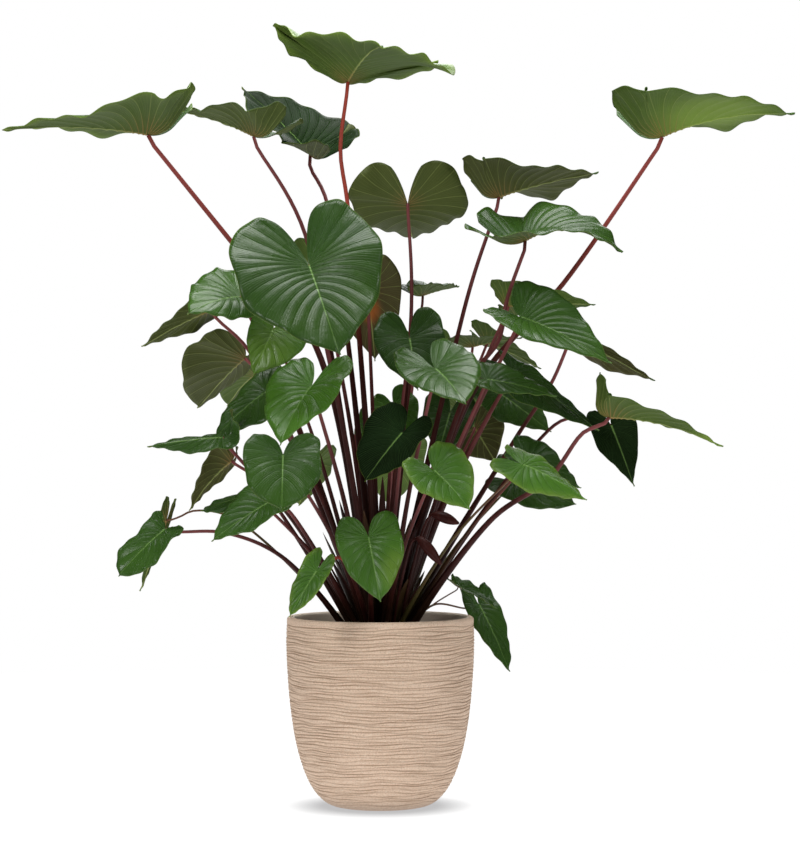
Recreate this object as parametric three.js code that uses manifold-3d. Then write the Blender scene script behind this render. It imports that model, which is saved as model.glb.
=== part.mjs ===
// A Homalomena rubescens in a round ribbed pot: heart-shaped blades on long dark petioles that
// rise from one crown in the soil. Millimetres, +Z up. The origin is the centre of the pot's foot.
import * as THREE from "three";
import { mergeVertices } from "three/addons/utils/BufferGeometryUtils.js";
import Module from "manifold-3d";

const wasm = await Module();
wasm.setup();

// Pot
const POT_HEIGHT = 303;
const POT_FOOT_RADIUS = 70;
const POT_LOW_RADIUS = 126;
const POT_BELLY_RADIUS = 151;
const POT_MOUTH_RADIUS = 149.5;
const POT_WALL = 12;
const POT_FLOOR = 14;
const POT_SIDES = 28;
const RIDGE_COUNT = 15;
const RIDGE_DEPTH = 1.6;
const RIDGES_FROM = 14;
const RIDGES_TO = 291;
const LIP_ROUNDING = 4;
const SHOULDER_HEIGHT = 265;
const SIDE_CURVE_HEIGHTS = [0, 8, 120, SHOULDER_HEIGHT];
const SIDE_CURVE_RADII = [POT_FOOT_RADIUS, POT_LOW_RADIUS, POT_BELLY_RADIUS - 3, POT_BELLY_RADIUS];
const FOOT_BEVEL = 7;
const INSIDE_HEIGHTS = [40, 80, 140];
const INSIDE_DRAW_IN = 3;

// Soil and crown
const SOIL_TOP = 262;
const SOIL_EDGE_DROP = 5;
const CROWN_RADIUS = 62;
const CROWN_DEPTH = 26;
const CROWN_DOME = 9;
const CROWN_LIP = 2;
const FIT_GAP = 0.3;

// Blades and petioles
const BLADE_THICKNESS = 1;
const LOBE_END = 0.42;
const HUB = 0.3;
const WIDEST_AT = 0.06;
const WAVES = 2.6;
const WAVE_PHASES = [0.35, 0];
const LOBE_STRETCH = 0.45;
const CUP_REACH = 0.55;
const CUP_AT_RIM = 0.6;
const DRIP_LENGTH = 0.07;
const DRIP_PINCH = 0.75;
const SCALLOP = 0.03;
const SCALLOPS = 3.4;
const PLEAT = 1.1;
const LARGE_BLADE = 175;
const LARGE_GRID = [10, 3];
const SMALL_GRID = [8, 2];
const PETIOLE_SIDES = 4;
const PETIOLE_STEP = 110;
const NECK_LENGTH = 20;
const STEEPEST_ARRIVAL = 0.35;
const PETIOLE_TIP_RADIUS = 1.5;
const PETIOLE_GROWTH = 0.008;
const PETIOLE_TAPER = 1.75;
const SHEATH_FLARE = 1.1;
const ROOT_DEPTH = 12;
const ROOT_SWAY = 0.22;
const ROOT_SCATTER = 5;
const INNER_ROOT = 13;
const OUTER_ROOT = 33;
const ROOT_REACH = 250;
const LOW_JOINT = 420;
const JOINT_RANGE = 500;
const BEND_AT = 0.45;
const BEND_RISE = 0.08;
const STALK_RADIUS = 2.2;
const SPATHE_RADIUS = 5.5;
const SPATHE_SEGMENTS = 20;

// A blade's joint and tip are given as seen from the front: x and z in the plane of the pot's axis,
// then how far behind that plane the point lies. The eye is this far in front, at this x and height.
const EYE_DISTANCE = 4700;
const SPREAD_BEHIND = 1.3;
const EYE_X = 31.6;
const EYE_HEIGHT = 617;

const radians = THREE.MathUtils.degToRad;
const clamp = THREE.MathUtils.clamp;

function vector(values) {
  return new THREE.Vector3(...values);
}

function seenFromFront([x, z, behind]) {
  const y = behind * SPREAD_BEHIND;
  const spread = (EYE_DISTANCE + y) / EYE_DISTANCE;
  return new THREE.Vector3(EYE_X + (x - EYE_X) * spread, y, EYE_HEIGHT + (z - EYE_HEIGHT) * spread);
}

// Each blade: joint, tip, the way its upper face looks, and its shape.
// half: widths of its two sides. back: length of the basal lobes as a share of the blade's length.
// full: how blunt it is. arch: bend of the midrib. fold: rise of the sides at the midrib and at the
// margin. cup: extra rise round the joint. lobe: lift of the lobes. wave: height of the margin's waves.
// otherFold: the fold of the second side where it differs. phase: where the waves start on each side.
const BLADES = [
  { joint: [-372, 1075, -20], tip: [-607, 1083, -40], up: [0, 0.18, 1], half: [110, 110],
    back: 0.46, full: 0.3, arch: 18, fold: [12, -10], cup: 20, lobe: 52, twist: 11, wave: 7, tone: 0.3,
    phase: [0.35, 0.1], stem: [[-240, 905, -10], [-103, 735, 0]] },
  { joint: [-203, 1073, 30], tip: [-334, 1116, 86], up: [0.1, 0.22, 1], half: [74, 74],
    back: 0.52, full: 0.3, arch: 15, fold: [10, -6], cup: 24, lobe: 56, twist: 6, wave: 5, tone: 0.3,
    stem: [[-122, 920, 50]] },
  { joint: [-112, 1043, 168], tip: [-222, 1151, 218], up: [0.5, -0.45, 0.7], half: [98, 118],
    back: 0.44, full: 0.3, arch: 10, fold: [25, 10], cup: 20, lobe: 55, twist: 0, wave: 5, tone: 0.3,
    otherFold: [6, 0], stem: [[-85, 965, 120]] },
  { joint: [-52, 1160, 0], tip: [4, 1218, -120], up: [0.16, 0.22, 1], half: [142, 178],
    back: 0.32, full: 0.3, arch: 40, fold: [10, -2], cup: 28, lobe: 26, twist: 0, wave: 9, tone: 0.45,
    phase: [0.19, 0.3], stem: [[-64, 1050, 0], [-52, 960, -5]] },
  { joint: [44, 965, 60], tip: [52, 911, 160], up: [0, 0.42, 0.9], half: [98, 98],
    back: 0.52, full: 0.3, arch: -45, fold: [12, 0], cup: 5, lobe: 42, twist: 0, wave: 5, tone: 0.15,
    stem: [[50, 850, 50], [48, 755, 40]] },
  { joint: [190, 975, 40], tip: [350, 1015, 20], up: [0, 0.28, 0.9], half: [90, 90],
    back: 0.5, full: 0.3, arch: 12, fold: [6, -8], cup: 30, lobe: 60, twist: 0, wave: 5, tone: 0.2,
    stem: [[150, 850, 30], [125, 757, 25]] },
  { joint: [232, 905, -60], tip: [388, 886, -90], up: [-0.1, -0.3, 1], half: [90, 90],
    back: 0.62, full: 0.3, arch: 75, fold: [20, 0], cup: 12, lobe: 55, twist: 0, wave: 6, tone: 0.5,
    stem: [[203, 810, -78], [190, 745, -78], [150, 690, -62]] },
  { joint: [452, 1072, 0], tip: [665, 1109, -20], up: [0, 0.2, 0.9], half: [112, 112],
    back: 0.52, full: 0.3, arch: 30, fold: [14, -8], cup: 28, lobe: 60, twist: 0, wave: 6, tone: 0.5,
    stem: [[300, 845, 32], [150, 665, 22]] },
  { joint: [-115, 868, -170], tip: [-65, 722, -245], up: [0, -0.9, 0.45], half: [122, 113],
    back: 0.55, full: 0.46, arch: 12, fold: [10, -8], cup: 15, lobe: 10, twist: 0, wave: 4, tone: 0.4,
    stem: [] },
  { joint: [-225, 815, -145], tip: [-310, 787, -195], up: [-0.3, -0.6, 0.7], half: [76, 60],
    back: 0.45, full: 0.3, arch: 30, fold: [10, 0], cup: 15, lobe: 20, twist: 0, wave: 4, tone: 0.6,
    otherFold: [-8, -45], stem: [[-206, 777, -60], [-165, 690, -50]] },
  { joint: [-272, 793, -80], tip: [-383, 735, -80], up: [-0.3, 0.5, 0.8], half: [48, 35],
    back: 0.42, full: 0.3, arch: 15, fold: [10, 0], cup: 15, lobe: 30, twist: 0, wave: 3, tone: 0.3,
    stem: [[-208, 725, -80]] },
  { joint: [-217, 717, -25], tip: [-293, 637, 45], up: [-0.36, 0.46, 0.81], half: [38, 96],
    back: 0.28, full: 0.5, arch: 10, fold: [5, 0], cup: 15, lobe: 20, twist: 0, wave: 3, tone: 0.2,
    stem: [[-170, 690, -20]] },
  { joint: [-171, 765, -112], tip: [-204, 689, -120], up: [-0.1, -0.9, 0.3], half: [38, 60],
    back: 0.2, full: 0.3, arch: 10, fold: [5, -10], cup: 15, lobe: 10, twist: 0, wave: 3, tone: 1,
    stem: [] },
  { joint: [-110, 673, -165], tip: [-161, 577, -240], up: [-0.29, -0.58, 0.77], half: [67, 68],
    back: 0.42, full: 0.38, arch: 20, fold: [12, -10], cup: 15, lobe: 10, twist: 0, wave: 3, tone: 0.9,
    stem: [] },
  { joint: [-180, 665, -118], tip: [-267, 586, -152], up: [-0.4, -0.7, 0.6], half: [38, 66],
    back: 0.4, full: 0.4, arch: 20, fold: [10, -10], cup: 15, lobe: 10, twist: 0, wave: 3, tone: 0.45,
    stem: [] },
  { joint: [-253, 590, -168], tip: [-374, 575, -185], up: [0, -0.5, 0.8], half: [18, 26],
    back: 0.45, full: 0.3, arch: 10, fold: [-30, -20], cup: 15, lobe: 100, twist: 30, wave: 4, tone: 0.45,
    stem: [] },
  { joint: [-238, 552, -95], tip: [-306, 472, -110], up: [-0.6, 0.6, 0.5], half: [24, 38],
    back: 0.34, full: 0.3, arch: 30, fold: [15, 0], cup: 15, lobe: 60, twist: 0, wave: 3, tone: 0.2,
    stem: [[-205, 530, -90]] },
  { joint: [-156, 562, -240], tip: [-158, 473, -280], up: [0, -0.9, 0.4], half: [60, 60],
    back: 0.3, full: 0.85, arch: 15, fold: [14, -8], cup: 15, lobe: 12, twist: 0, wave: 3, tone: 0.4,
    stem: [] },
  { joint: [-176, 487, -200], tip: [-271, 423, -220], up: [-0.3, -0.75, 0.6], half: [46, 38],
    back: 0.36, full: 0.42, arch: 15, fold: [8, -8], cup: 15, lobe: 12, twist: 0, wave: 3, tone: 0.6,
    stem: [[-145, 470, -150]] },
  { joint: [-200, 500, -150], tip: [-288, 472, -160], up: [0, -0.3, 0.9], half: [30, 30],
    back: 0.42, full: 1, arch: 10, fold: [-10, -10], cup: 15, lobe: 10, twist: 0, wave: 3, tone: 0.5,
    stem: [] },
  { joint: [-345, 443, -120], tip: [-420, 367, -140], up: [-0.5, -0.8, 0.2], half: [30, 36],
    back: 0.08, full: 1.2, arch: 20, fold: [10, 0], cup: 15, lobe: 20, twist: 0, wave: 4, tone: 0.55,
    stem: [[-250, 437, -110], [-160, 400, -90]] },
  { joint: [-343, 457, -60], tip: [-385, 343, -60], up: [-0.3, 0.8, 0.3], half: [9, 15],
    back: 0.3, full: 0.3, arch: 10, fold: [10, 0], cup: 15, lobe: 20, twist: 0, wave: 3, tone: 0.2,
    stem: [[-300, 472, -60], [-235, 460, -60]] },
  { joint: [-102, 376, -180], tip: [-146, 302, -190], up: [-0.2, -0.9, 0.3], half: [25, 22],
    back: 0.42, full: 0.5, arch: 15, fold: [5, -8], cup: 15, lobe: 15, twist: 0, wave: 3, tone: 1,
    stem: [[-62, 396, -120]] },
  { joint: [-19, 430, -190], tip: [0, 326, -220], up: [0.05, -0.9, 0.35], half: [52, 52],
    back: 0.32, full: 0.5, arch: 12, fold: [14, -10], cup: 15, lobe: 12, twist: 0, wave: 2, tone: 0.75,
    stem: [] },
  { joint: [225, 783, -120], tip: [371, 708, -170], up: [0.1, -0.65, 0.75], half: [72, 65],
    back: 0.21, full: 0.3, arch: 20, fold: [18, 5], cup: 15, lobe: 15, twist: 0, wave: 3, tone: 0.45,
    stem: [] },
  { joint: [205, 800, -18], tip: [345, 803, -44], up: [0, 0.55, 0.8], half: [50, 50],
    back: 0.2, full: 0.3, arch: 15, fold: [10, 0], cup: 15, lobe: 40, twist: 0, wave: 3, tone: 0.5,
    stem: [] },
  { joint: [308, 752, 22], tip: [441, 681, 0], up: [0.5, 0.5, 0.5], half: [20, 46],
    back: 0.42, full: 0.3, arch: 0.5, fold: [8, 0], cup: 15, lobe: 20, twist: 0, wave: 3, tone: 0.25,
    stem: [[275, 678, 45], [215, 585, 22]] },
  { joint: [367, 622, -100], tip: [550, 575, -125], up: [0, 0.12, 1], half: [62, 50],
    back: 0.44, full: 0.08, arch: 26, fold: [16, 6], cup: 20, lobe: 84, twist: 12, wave: 4, tone: 0.4,
    stem: [[325, 597, -100], [270, 523, -100], [180, 460, -80]] },
  { joint: [370, 610, -15], tip: [407, 511, -45], up: [0.1, -0.95, 0.1], half: [38, 38],
    back: 0.25, full: 0.2, arch: 15, fold: [8, -5], cup: 15, lobe: 10, twist: 0, wave: 3, tone: 0,
    stem: [[300, 620, 0], [245, 575, -5]] },
  { joint: [212, 697, -20], tip: [350, 600, -75], up: [0.2, -0.6, 0.7], half: [64, 25],
    back: 0.2, full: 0.3, arch: 10, fold: [8, -5], cup: 15, lobe: 10, twist: 0, wave: 3, tone: 0.25,
    stem: [] },
  { joint: [170, 683, -120], tip: [283, 655, -150], up: [0.1, -0.6, 0.8], half: [36, 36],
    back: 0.3, full: 0.3, arch: 15, fold: [8, -5], cup: 15, lobe: 10, twist: 0, wave: 3, tone: 0.4,
    stem: [] },
  { joint: [148, 735, 90], tip: [228, 750, 65], up: [0, 0.1, 1], half: [42, 42],
    back: 0.45, full: 0.3, arch: 10, fold: [15, 0], cup: 15, lobe: 20, twist: 0, wave: 3, tone: 0.3,
    stem: [[125, 640, 112], [78, 450, 75]] },
  { joint: [172, 742, 150], tip: [258, 700, 140], up: [0, 0.4, 0.9], half: [38, 38],
    back: 0.42, full: 0.3, arch: 10, fold: [10, 0], cup: 15, lobe: 20, twist: 0, wave: 3, tone: 0.4,
    stem: [] },
  { joint: [228, 547, -190], tip: [331, 489, -210], up: [0.2, -0.6, 0.8], half: [44, 44],
    back: 0.36, full: 0.4, arch: 20, fold: [-20, -20], cup: 15, lobe: 10, twist: 0, wave: 3, tone: 0.95,
    stem: [] },
  { joint: [236, 552, -45], tip: [322, 508, -50], up: [0.25, -0.7, 0.6], half: [40, 40],
    back: 0.4, full: 0.3, arch: 10, fold: [15, 5], cup: 15, lobe: 15, twist: 0, wave: 3, tone: 0.35,
    stem: [] },
  { joint: [212, 520, 62], tip: [314, 482, 48], up: [0.1, -0.7, 0.5], half: [46, 46],
    back: 0.35, full: 0.6, arch: 10, fold: [5, 0], cup: 15, lobe: 10, twist: 0, wave: 3, tone: 0.3,
    stem: [] },
  { joint: [86, 537, -230], tip: [143, 474, -260], up: [0.05, -0.75, 0.65], half: [52, 52],
    back: 0.4, full: 0.5, arch: 25, fold: [18, -5], cup: 15, lobe: 12, twist: 0, wave: 3, tone: 0.85,
    stem: [] },
  { joint: [36, 598, -180], tip: [-25, 519, -210], up: [-0.3, -0.8, 0.5], half: [58, 46],
    back: 0.38, full: 0.6, arch: 12, fold: [8, -8], cup: 15, lobe: 10, twist: 0, wave: 3, tone: 0.1,
    stem: [] },
  { joint: [88, 700, -170], tip: [137, 643, -250], up: [0.1, -0.8, 0.6], half: [62, 62],
    back: 0.55, full: 0.5, arch: 20, fold: [10, -8], cup: 15, lobe: 15, twist: 0, wave: 3, tone: 0.75,
    stem: [] },
  { joint: [47, 750, -40], tip: [60, 665, -70], up: [0, -0.9, 0.3], half: [58, 58],
    back: 0.5, full: 0.3, arch: 10, fold: [10, -5], cup: 15, lobe: 10, twist: 0, wave: 3, tone: 0.2,
    stem: [] },
  { joint: [68, 817, 115], tip: [127, 832, 150], up: [0, -0.1, 1], half: [42, 42],
    back: 0.6, full: 0.3, arch: 10, fold: [28, 10], cup: 15, lobe: 30, twist: 0, wave: 3, tone: 0.35,
    stem: [] },
  { joint: [-20, 830, 35], tip: [-8, 712, 40], up: [0, 0.9, 0.4], half: [55, 55],
    back: 0.45, full: 0.3, arch: 0.5, fold: [5, 0], cup: 15, lobe: 10, twist: 0, wave: 3, tone: 0.05,
    stem: [] },
  { joint: [22, 640, 118], tip: [52, 580, 105], up: [0, -0.8, 0.5], half: [38, 38],
    back: 0.42, full: 0.3, arch: 10, fold: [5, 0], cup: 15, lobe: 10, twist: 0, wave: 3, tone: 0.8,
    stem: [] },
  { joint: [-34, 615, 100], tip: [-24, 558, 95], up: [0.7, -0.4, 0.3], half: [24, 24],
    back: 0.4, full: 0.3, arch: 10, fold: [5, 0], cup: 15, lobe: 10, twist: 0, wave: 3, tone: 0.7,
    stem: [] },
  { joint: [112, 630, 72], tip: [92, 560, 50], up: [0, -0.8, 0.4], half: [45, 45],
    back: 0.4, full: 0.3, arch: 10, fold: [5, 0], cup: 15, lobe: 10, twist: 0, wave: 3, tone: 0.25,
    stem: [] },
  { joint: [152, 605, 135], tip: [185, 550, 140], up: [0, 0.9, 0.3], half: [48, 48],
    back: 0.4, full: 0.3, arch: 5, fold: [5, 0], cup: 15, lobe: 10, twist: 0, wave: 3, tone: 0.1,
    stem: [] },
  { joint: [192, 660, 75], tip: [274, 598, 58], up: [0.1, -0.8, 0.5], half: [48, 48],
    back: 0.42, full: 0.3, arch: 10, fold: [8, -5], cup: 15, lobe: 10, twist: 0, wave: 3, tone: 0.35,
    stem: [] },
  { joint: [158, 322, 115], tip: [207, 214, 60], up: [0.5, -0.8, 0.3], half: [36, 33],
    back: 0.25, full: 0.5, arch: 12, fold: [8, -5], cup: 15, lobe: 15, twist: 0, wave: 3, tone: 0.4,
    stem: [[88, 322, 90]] },
  { joint: [125, 350, 90], tip: [187, 315, 70], up: [0.3, -0.3, 0.9], half: [20, 20],
    back: 0.3, full: 0.4, arch: 15, fold: [20, 10], cup: 15, lobe: 20, twist: 0, wave: 3, tone: 0.4,
    stem: [[88, 324, 90]] },
  { joint: [-92, 850, 190], tip: [-120, 745, 250], up: [-0.2, 0.75, 0.6], half: [80, 80],
    back: 0.45, full: 0.45, arch: 25, fold: [12, 0], cup: 15, lobe: 20, twist: 0, wave: 4, tone: 0.4,
    stem: [] },
  { joint: [-200, 690, 170], tip: [-245, 640, 230], up: [-0.5, 0.6, 0.6], half: [55, 55],
    back: 0.42, full: 0.45, arch: 25, fold: [12, 0], cup: 15, lobe: 20, twist: 0, wave: 3, tone: 0.4,
    stem: [] },
  { joint: [135, 630, 235], tip: [170, 560, 295], up: [0.2, 0.7, 0.6], half: [58, 58],
    back: 0.42, full: 0.45, arch: 25, fold: [12, 0], cup: 15, lobe: 20, twist: 0, wave: 3, tone: 0.5,
    stem: [] },
  { joint: [20, 560, 210], tip: [15, 480, 280], up: [0, 0.75, 0.6], half: [60, 60],
    back: 0.42, full: 0.5, arch: 25, fold: [12, 0], cup: 15, lobe: 15, twist: 0, wave: 3, tone: 0.5,
    stem: [] },
  { joint: [-110, 545, 180], tip: [-130, 480, 230], up: [-0.3, 0.7, 0.6], half: [48, 48],
    back: 0.42, full: 0.5, arch: 25, fold: [12, 0], cup: 15, lobe: 15, twist: 0, wave: 3, tone: 0.6,
    stem: [] },
  { joint: [60, 735, 200], tip: [85, 660, 260], up: [0.2, 0.75, 0.6], half: [56, 56],
    back: 0.42, full: 0.5, arch: 25, fold: [12, 0], cup: 15, lobe: 15, twist: 0, wave: 3, tone: 0.6,
    stem: [] },
];

// The two closed dark spathes low in the clump
const SPATHES = [
  { root: [22, -22], via: [[52, 380, -55], [70, 445, -66]], base: [83, 465, -72], tip: [126, 452, -84] },
  { root: [14, -26], via: [[34, 360, -60]], base: [57, 428, -78], tip: [98, 386, -92] },
];

// Form of one blade

function bladeFrame(blade) {
  const joint = seenFromFront(blade.joint);
  const along = seenFromFront(blade.tip).sub(joint);
  const chord = along.length();
  along.normalize();
  const up = vector(blade.up);
  up.addScaledVector(along, -up.dot(along)).normalize();
  const across = new THREE.Vector3().crossVectors(along, up);
  const arch = radians(blade.arch);
  const length = (chord * (arch / 2)) / Math.sin(arch / 2);
  const start = along.clone().multiplyScalar(Math.cos(arch / 2)).addScaledVector(up, Math.sin(arch / 2));
  const startUp = up.clone().multiplyScalar(Math.cos(arch / 2)).addScaledVector(along, -Math.sin(arch / 2));
  return { joint, along, up, across, arch, length, start, startUp };
}

function bezier(points, t) {
  const s = 1 - t;
  const weights = [s * s * s, 3 * s * s * t, 3 * s * t * t, t * t * t];
  return [0, 1].map((axis) => points.reduce((sum, point, i) => sum + weights[i] * point[axis], 0));
}

// Half outline from the end of a basal lobe, t = 0, round to the tip, t = 1
function marginPoint(blade, length, width, t, side) {
  const back = blade.back * length;
  const widest = WIDEST_AT * length;
  const lobe = [
    [-0.86 * back, 0.26 * width],
    [-1.2 * back, 0.62 * width],
    [widest - 0.42 * length, 1.02 * width],
    [widest, width],
  ];
  const front = [
    [widest, width],
    [widest + 0.4 * length, width],
    [(0.7 + 0.15 * blade.full) * length, blade.full * width],
    [length, 0],
  ];
  const [u, v] = t < LOBE_END ? bezier(lobe, t / LOBE_END) : bezier(front, (t - LOBE_END) / (1 - LOBE_END));
  const pinch = 1 - DRIP_PINCH * Math.exp(-Math.pow((length - u) / (DRIP_LENGTH * length), 2));
  const turn = 0.013 * (blade.joint[0] + blade.joint[1]) + (side > 0 ? 0.5 : 0);
  const scallop = 1 + SCALLOP * Math.sin(2 * Math.PI * (SCALLOPS * t + turn));
  return [u, v * pinch * scallop];
}

// Point on the flat half blade: t picks the vein, s runs along it from the midrib to the margin
function flatPoint(blade, length, width, t, s, side) {
  const end = marginPoint(blade, length, width, t, side);
  const ahead = clamp((t - HUB) / (1 - HUB), 0, 1);
  const root = length * (0.6 * Math.pow(ahead, 2) + 0.4 * Math.pow(ahead, 12));
  const basal = clamp((HUB - t) / HUB, 0, 1);
  const bend = [
    (root + (end[0] - root) * 0.3) * (1 - basal) + end[0] * 0.62 * basal,
    end[1] * 0.62 * (1 - basal) + end[1] * 0.3 * basal,
  ];
  const a = (1 - s) * (1 - s);
  const b = 2 * (1 - s) * s;
  return [a * root + b * bend[0] + s * s * end[0], b * bend[1] + s * s * end[1]];
}

// Midrib ahead of the joint, and the line between the lobes behind it, with the upward direction there
function spine(blade, frame, u) {
  if (u >= 0) {
    const bend = frame.length / frame.arch;
    const angle = frame.arch / 2 - u / bend;
    const forward = bend * (Math.sin(frame.arch / 2) - Math.sin(angle));
    const rise = bend * (Math.cos(angle) - Math.cos(frame.arch / 2));
    const point = frame.joint.clone();
    point.addScaledVector(frame.along, forward).addScaledVector(frame.up, rise);
    const up = frame.up.clone().multiplyScalar(Math.cos(angle));
    up.addScaledVector(frame.along, -Math.sin(angle));
    return { point, up };
  }
  const lift = radians(blade.lobe);
  const stretch = LOBE_STRETCH * blade.back * frame.length;
  const bend = stretch / lift;
  const angle = Math.min(-u, stretch) / bend;
  const straight = Math.max(-u - stretch, 0);
  const backward = bend * Math.sin(angle) + straight * Math.cos(lift);
  const rise = bend * (1 - Math.cos(angle)) + straight * Math.sin(lift);
  const point = frame.joint.clone();
  point.addScaledVector(frame.start, -backward).addScaledVector(frame.startUp, rise);
  const up = frame.startUp.clone().multiplyScalar(Math.cos(angle));
  up.addScaledVector(frame.start, Math.sin(angle));
  return { point, up };
}

function bladePoint(blade, frame, t, s, side, veins) {
  const width = blade.half[side > 0 ? 0 : 1];
  const [u, v] = flatPoint(blade, frame.length, width, t, s, side);
  const { point, up } = spine(blade, frame, u);
  const twist = radians(blade.twist) * clamp(u / frame.length, 0, 1);
  const outward = frame.across.clone().multiplyScalar(Math.cos(twist)).addScaledVector(up, Math.sin(twist));
  const upward = up.clone().multiplyScalar(Math.cos(twist)).addScaledVector(frame.across, -Math.sin(twist));
  const near = THREE.MathUtils.smoothstep(1 - u / (CUP_REACH * frame.length), 0, 1);
  const fold = side < 0 && blade.otherFold ? blade.otherFold : blade.fold;
  const foldRoot = radians(fold[0] + blade.cup * near);
  const foldRim = radians(fold[1] + CUP_AT_RIM * blade.cup * near);
  const curl = (foldRim - foldRoot) / width || 1e-9;
  const out = (Math.sin(foldRoot + curl * v) - Math.sin(foldRoot)) / curl;
  const lift = (Math.cos(foldRoot) - Math.cos(foldRoot + curl * v)) / curl;
  const phase = (blade.phase ?? WAVE_PHASES)[side > 0 ? 0 : 1];
  const wave = blade.wave * Math.pow(v / width, 1.5) * Math.sin(2 * Math.PI * (WAVES * t + phase));
  const pleat = PLEAT * 4 * s * (1 - s) * Math.cos(2 * Math.PI * veins * t);
  return point.addScaledVector(outward, side * out).addScaledVector(upward, lift + wave + pleat);
}

// Solids

function geometryFrom(positions, triangles) {
  const geometry = new THREE.BufferGeometry();
  geometry.setAttribute("position", new THREE.Float32BufferAttribute(positions, 3));
  geometry.setIndex(triangles);
  return geometry;
}

function signedVolume(positions, triangles) {
  const corner = (i) => new THREE.Vector3().fromArray(positions, 3 * i);
  let sum = 0;
  for (let i = 0; i < triangles.length; i += 3) {
    const [a, b, c] = [0, 1, 2].map((k) => corner(triangles[i + k]));
    sum += a.dot(b.cross(c));
  }
  return sum / 6;
}

// Thickens a sheet: one copy of it on each side, and a strip along its edge
function thicken(sheet, thickness) {
  sheet.computeVertexNormals();
  const middle = sheet.attributes.position;
  const normal = sheet.attributes.normal;
  const count = middle.count;
  const positions = [];
  for (const side of [0.5, -0.5]) {
    for (let i = 0; i < count; i += 1) {
      const point = new THREE.Vector3().fromBufferAttribute(middle, i);
      const offset = new THREE.Vector3().fromBufferAttribute(normal, i);
      positions.push(...point.addScaledVector(offset, side * thickness).toArray());
    }
  }
  const index = Array.from(sheet.index.array);
  const edges = new Map();
  const triangles = [];
  for (let i = 0; i < index.length; i += 3) {
    const [a, b, c] = index.slice(i, i + 3);
    triangles.push(a, b, c, count + a, count + c, count + b);
    for (const [from, to] of [[a, b], [b, c], [c, a]]) {
      edges.set(from + "," + to, [from, to]);
    }
  }
  for (const [from, to] of edges.values()) {
    if (!edges.has(to + "," + from)) {
      triangles.push(to, from, count + from, to, count + from, count + to);
    }
  }
  if (signedVolume(positions, triangles) < 0) {
    triangles.reverse();
  }
  return geometryFrom(positions, triangles);
}

function bladeGeometry(blade) {
  const frame = bladeFrame(blade);
  const [lines, steps] = frame.length > LARGE_BLADE ? LARGE_GRID : SMALL_GRID;
  const positions = [];
  const triangles = [];
  for (const side of [1, -1]) {
    const first = positions.length / 3;
    for (let i = 0; i <= lines; i += 1) {
      for (let j = 0; j <= steps; j += 1) {
        const point = bladePoint(blade, frame, i / lines, j / steps, side, lines / 2);
        positions.push(...point.toArray());
      }
    }
    for (let i = 0; i < lines; i += 1) {
      for (let j = 0; j < steps; j += 1) {
        const a = first + i * (steps + 1) + j;
        const b = a + steps + 1;
        const quad = side > 0 ? [a, a + 1, b + 1, a, b + 1, b] : [a, b + 1, a + 1, a, b, b + 1];
        triangles.push(...quad);
      }
    }
  }
  const sheet = mergeVertices(geometryFrom(positions, triangles), 1e-3);
  const index = Array.from(sheet.index.array);
  const whole = [];
  for (let i = 0; i < index.length; i += 3) {
    const [a, b, c] = index.slice(i, i + 3);
    if (a !== b && b !== c && c !== a) {
      whole.push(a, b, c);
    }
  }
  sheet.setIndex(whole);
  return thicken(sheet, BLADE_THICKNESS);
}

// A round tapered stem along a smooth curve through the points, closed at both ends
function stemGeometry(points, radiusAt, segments) {
  const curve = new THREE.CatmullRomCurve3(points, false, "centripetal");
  const frames = curve.computeFrenetFrames(segments, false);
  const positions = [];
  const triangles = [];
  for (let i = 0; i <= segments; i += 1) {
    const centre = curve.getPointAt(i / segments);
    const radius = radiusAt(i / segments);
    for (let j = 0; j < PETIOLE_SIDES; j += 1) {
      const angle = (2 * Math.PI * j) / PETIOLE_SIDES;
      const point = centre.clone();
      point.addScaledVector(frames.normals[i], radius * Math.cos(angle));
      point.addScaledVector(frames.binormals[i], radius * Math.sin(angle));
      positions.push(...point.toArray());
    }
  }
  for (let i = 0; i < segments; i += 1) {
    for (let j = 0; j < PETIOLE_SIDES; j += 1) {
      const a = i * PETIOLE_SIDES + j;
      const b = i * PETIOLE_SIDES + ((j + 1) % PETIOLE_SIDES);
      triangles.push(a, b, b + PETIOLE_SIDES, a, b + PETIOLE_SIDES, a + PETIOLE_SIDES);
    }
  }
  const last = segments * PETIOLE_SIDES;
  for (let j = 1; j < PETIOLE_SIDES - 1; j += 1) {
    triangles.push(0, j + 1, j, last, last + j, last + j + 1);
  }
  if (signedVolume(positions, triangles) < 0) {
    triangles.reverse();
  }
  return geometryFrom(positions, triangles);
}

function solidFrom(geometry) {
  const bare = geometry.clone();
  bare.deleteAttribute("normal");
  bare.deleteAttribute("uv");
  const merged = mergeVertices(bare, 1e-4);
  const vertProperties = new Float32Array(merged.attributes.position.array);
  const triVerts = new Uint32Array(merged.index.array);
  return new wasm.Manifold(new wasm.Mesh({ numProp: 3, vertProperties, triVerts }));
}

function geometryOf(solid) {
  const mesh = solid.getMesh();
  return geometryFrom(Array.from(mesh.vertProperties), Array.from(mesh.triVerts));
}

// Small hollows sealed between joined stems are filled: only the outermost skin is kept
function outerShell(solid) {
  return solid.decompose().reduce((best, shell) => (shell.volume() > best.volume() ? shell : best));
}

function turned(profile) {
  const points = profile.map(([r, z]) => new THREE.Vector2(r, z));
  return new THREE.LatheGeometry(points, POT_SIDES).rotateX(Math.PI / 2);
}

// Pot

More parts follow.
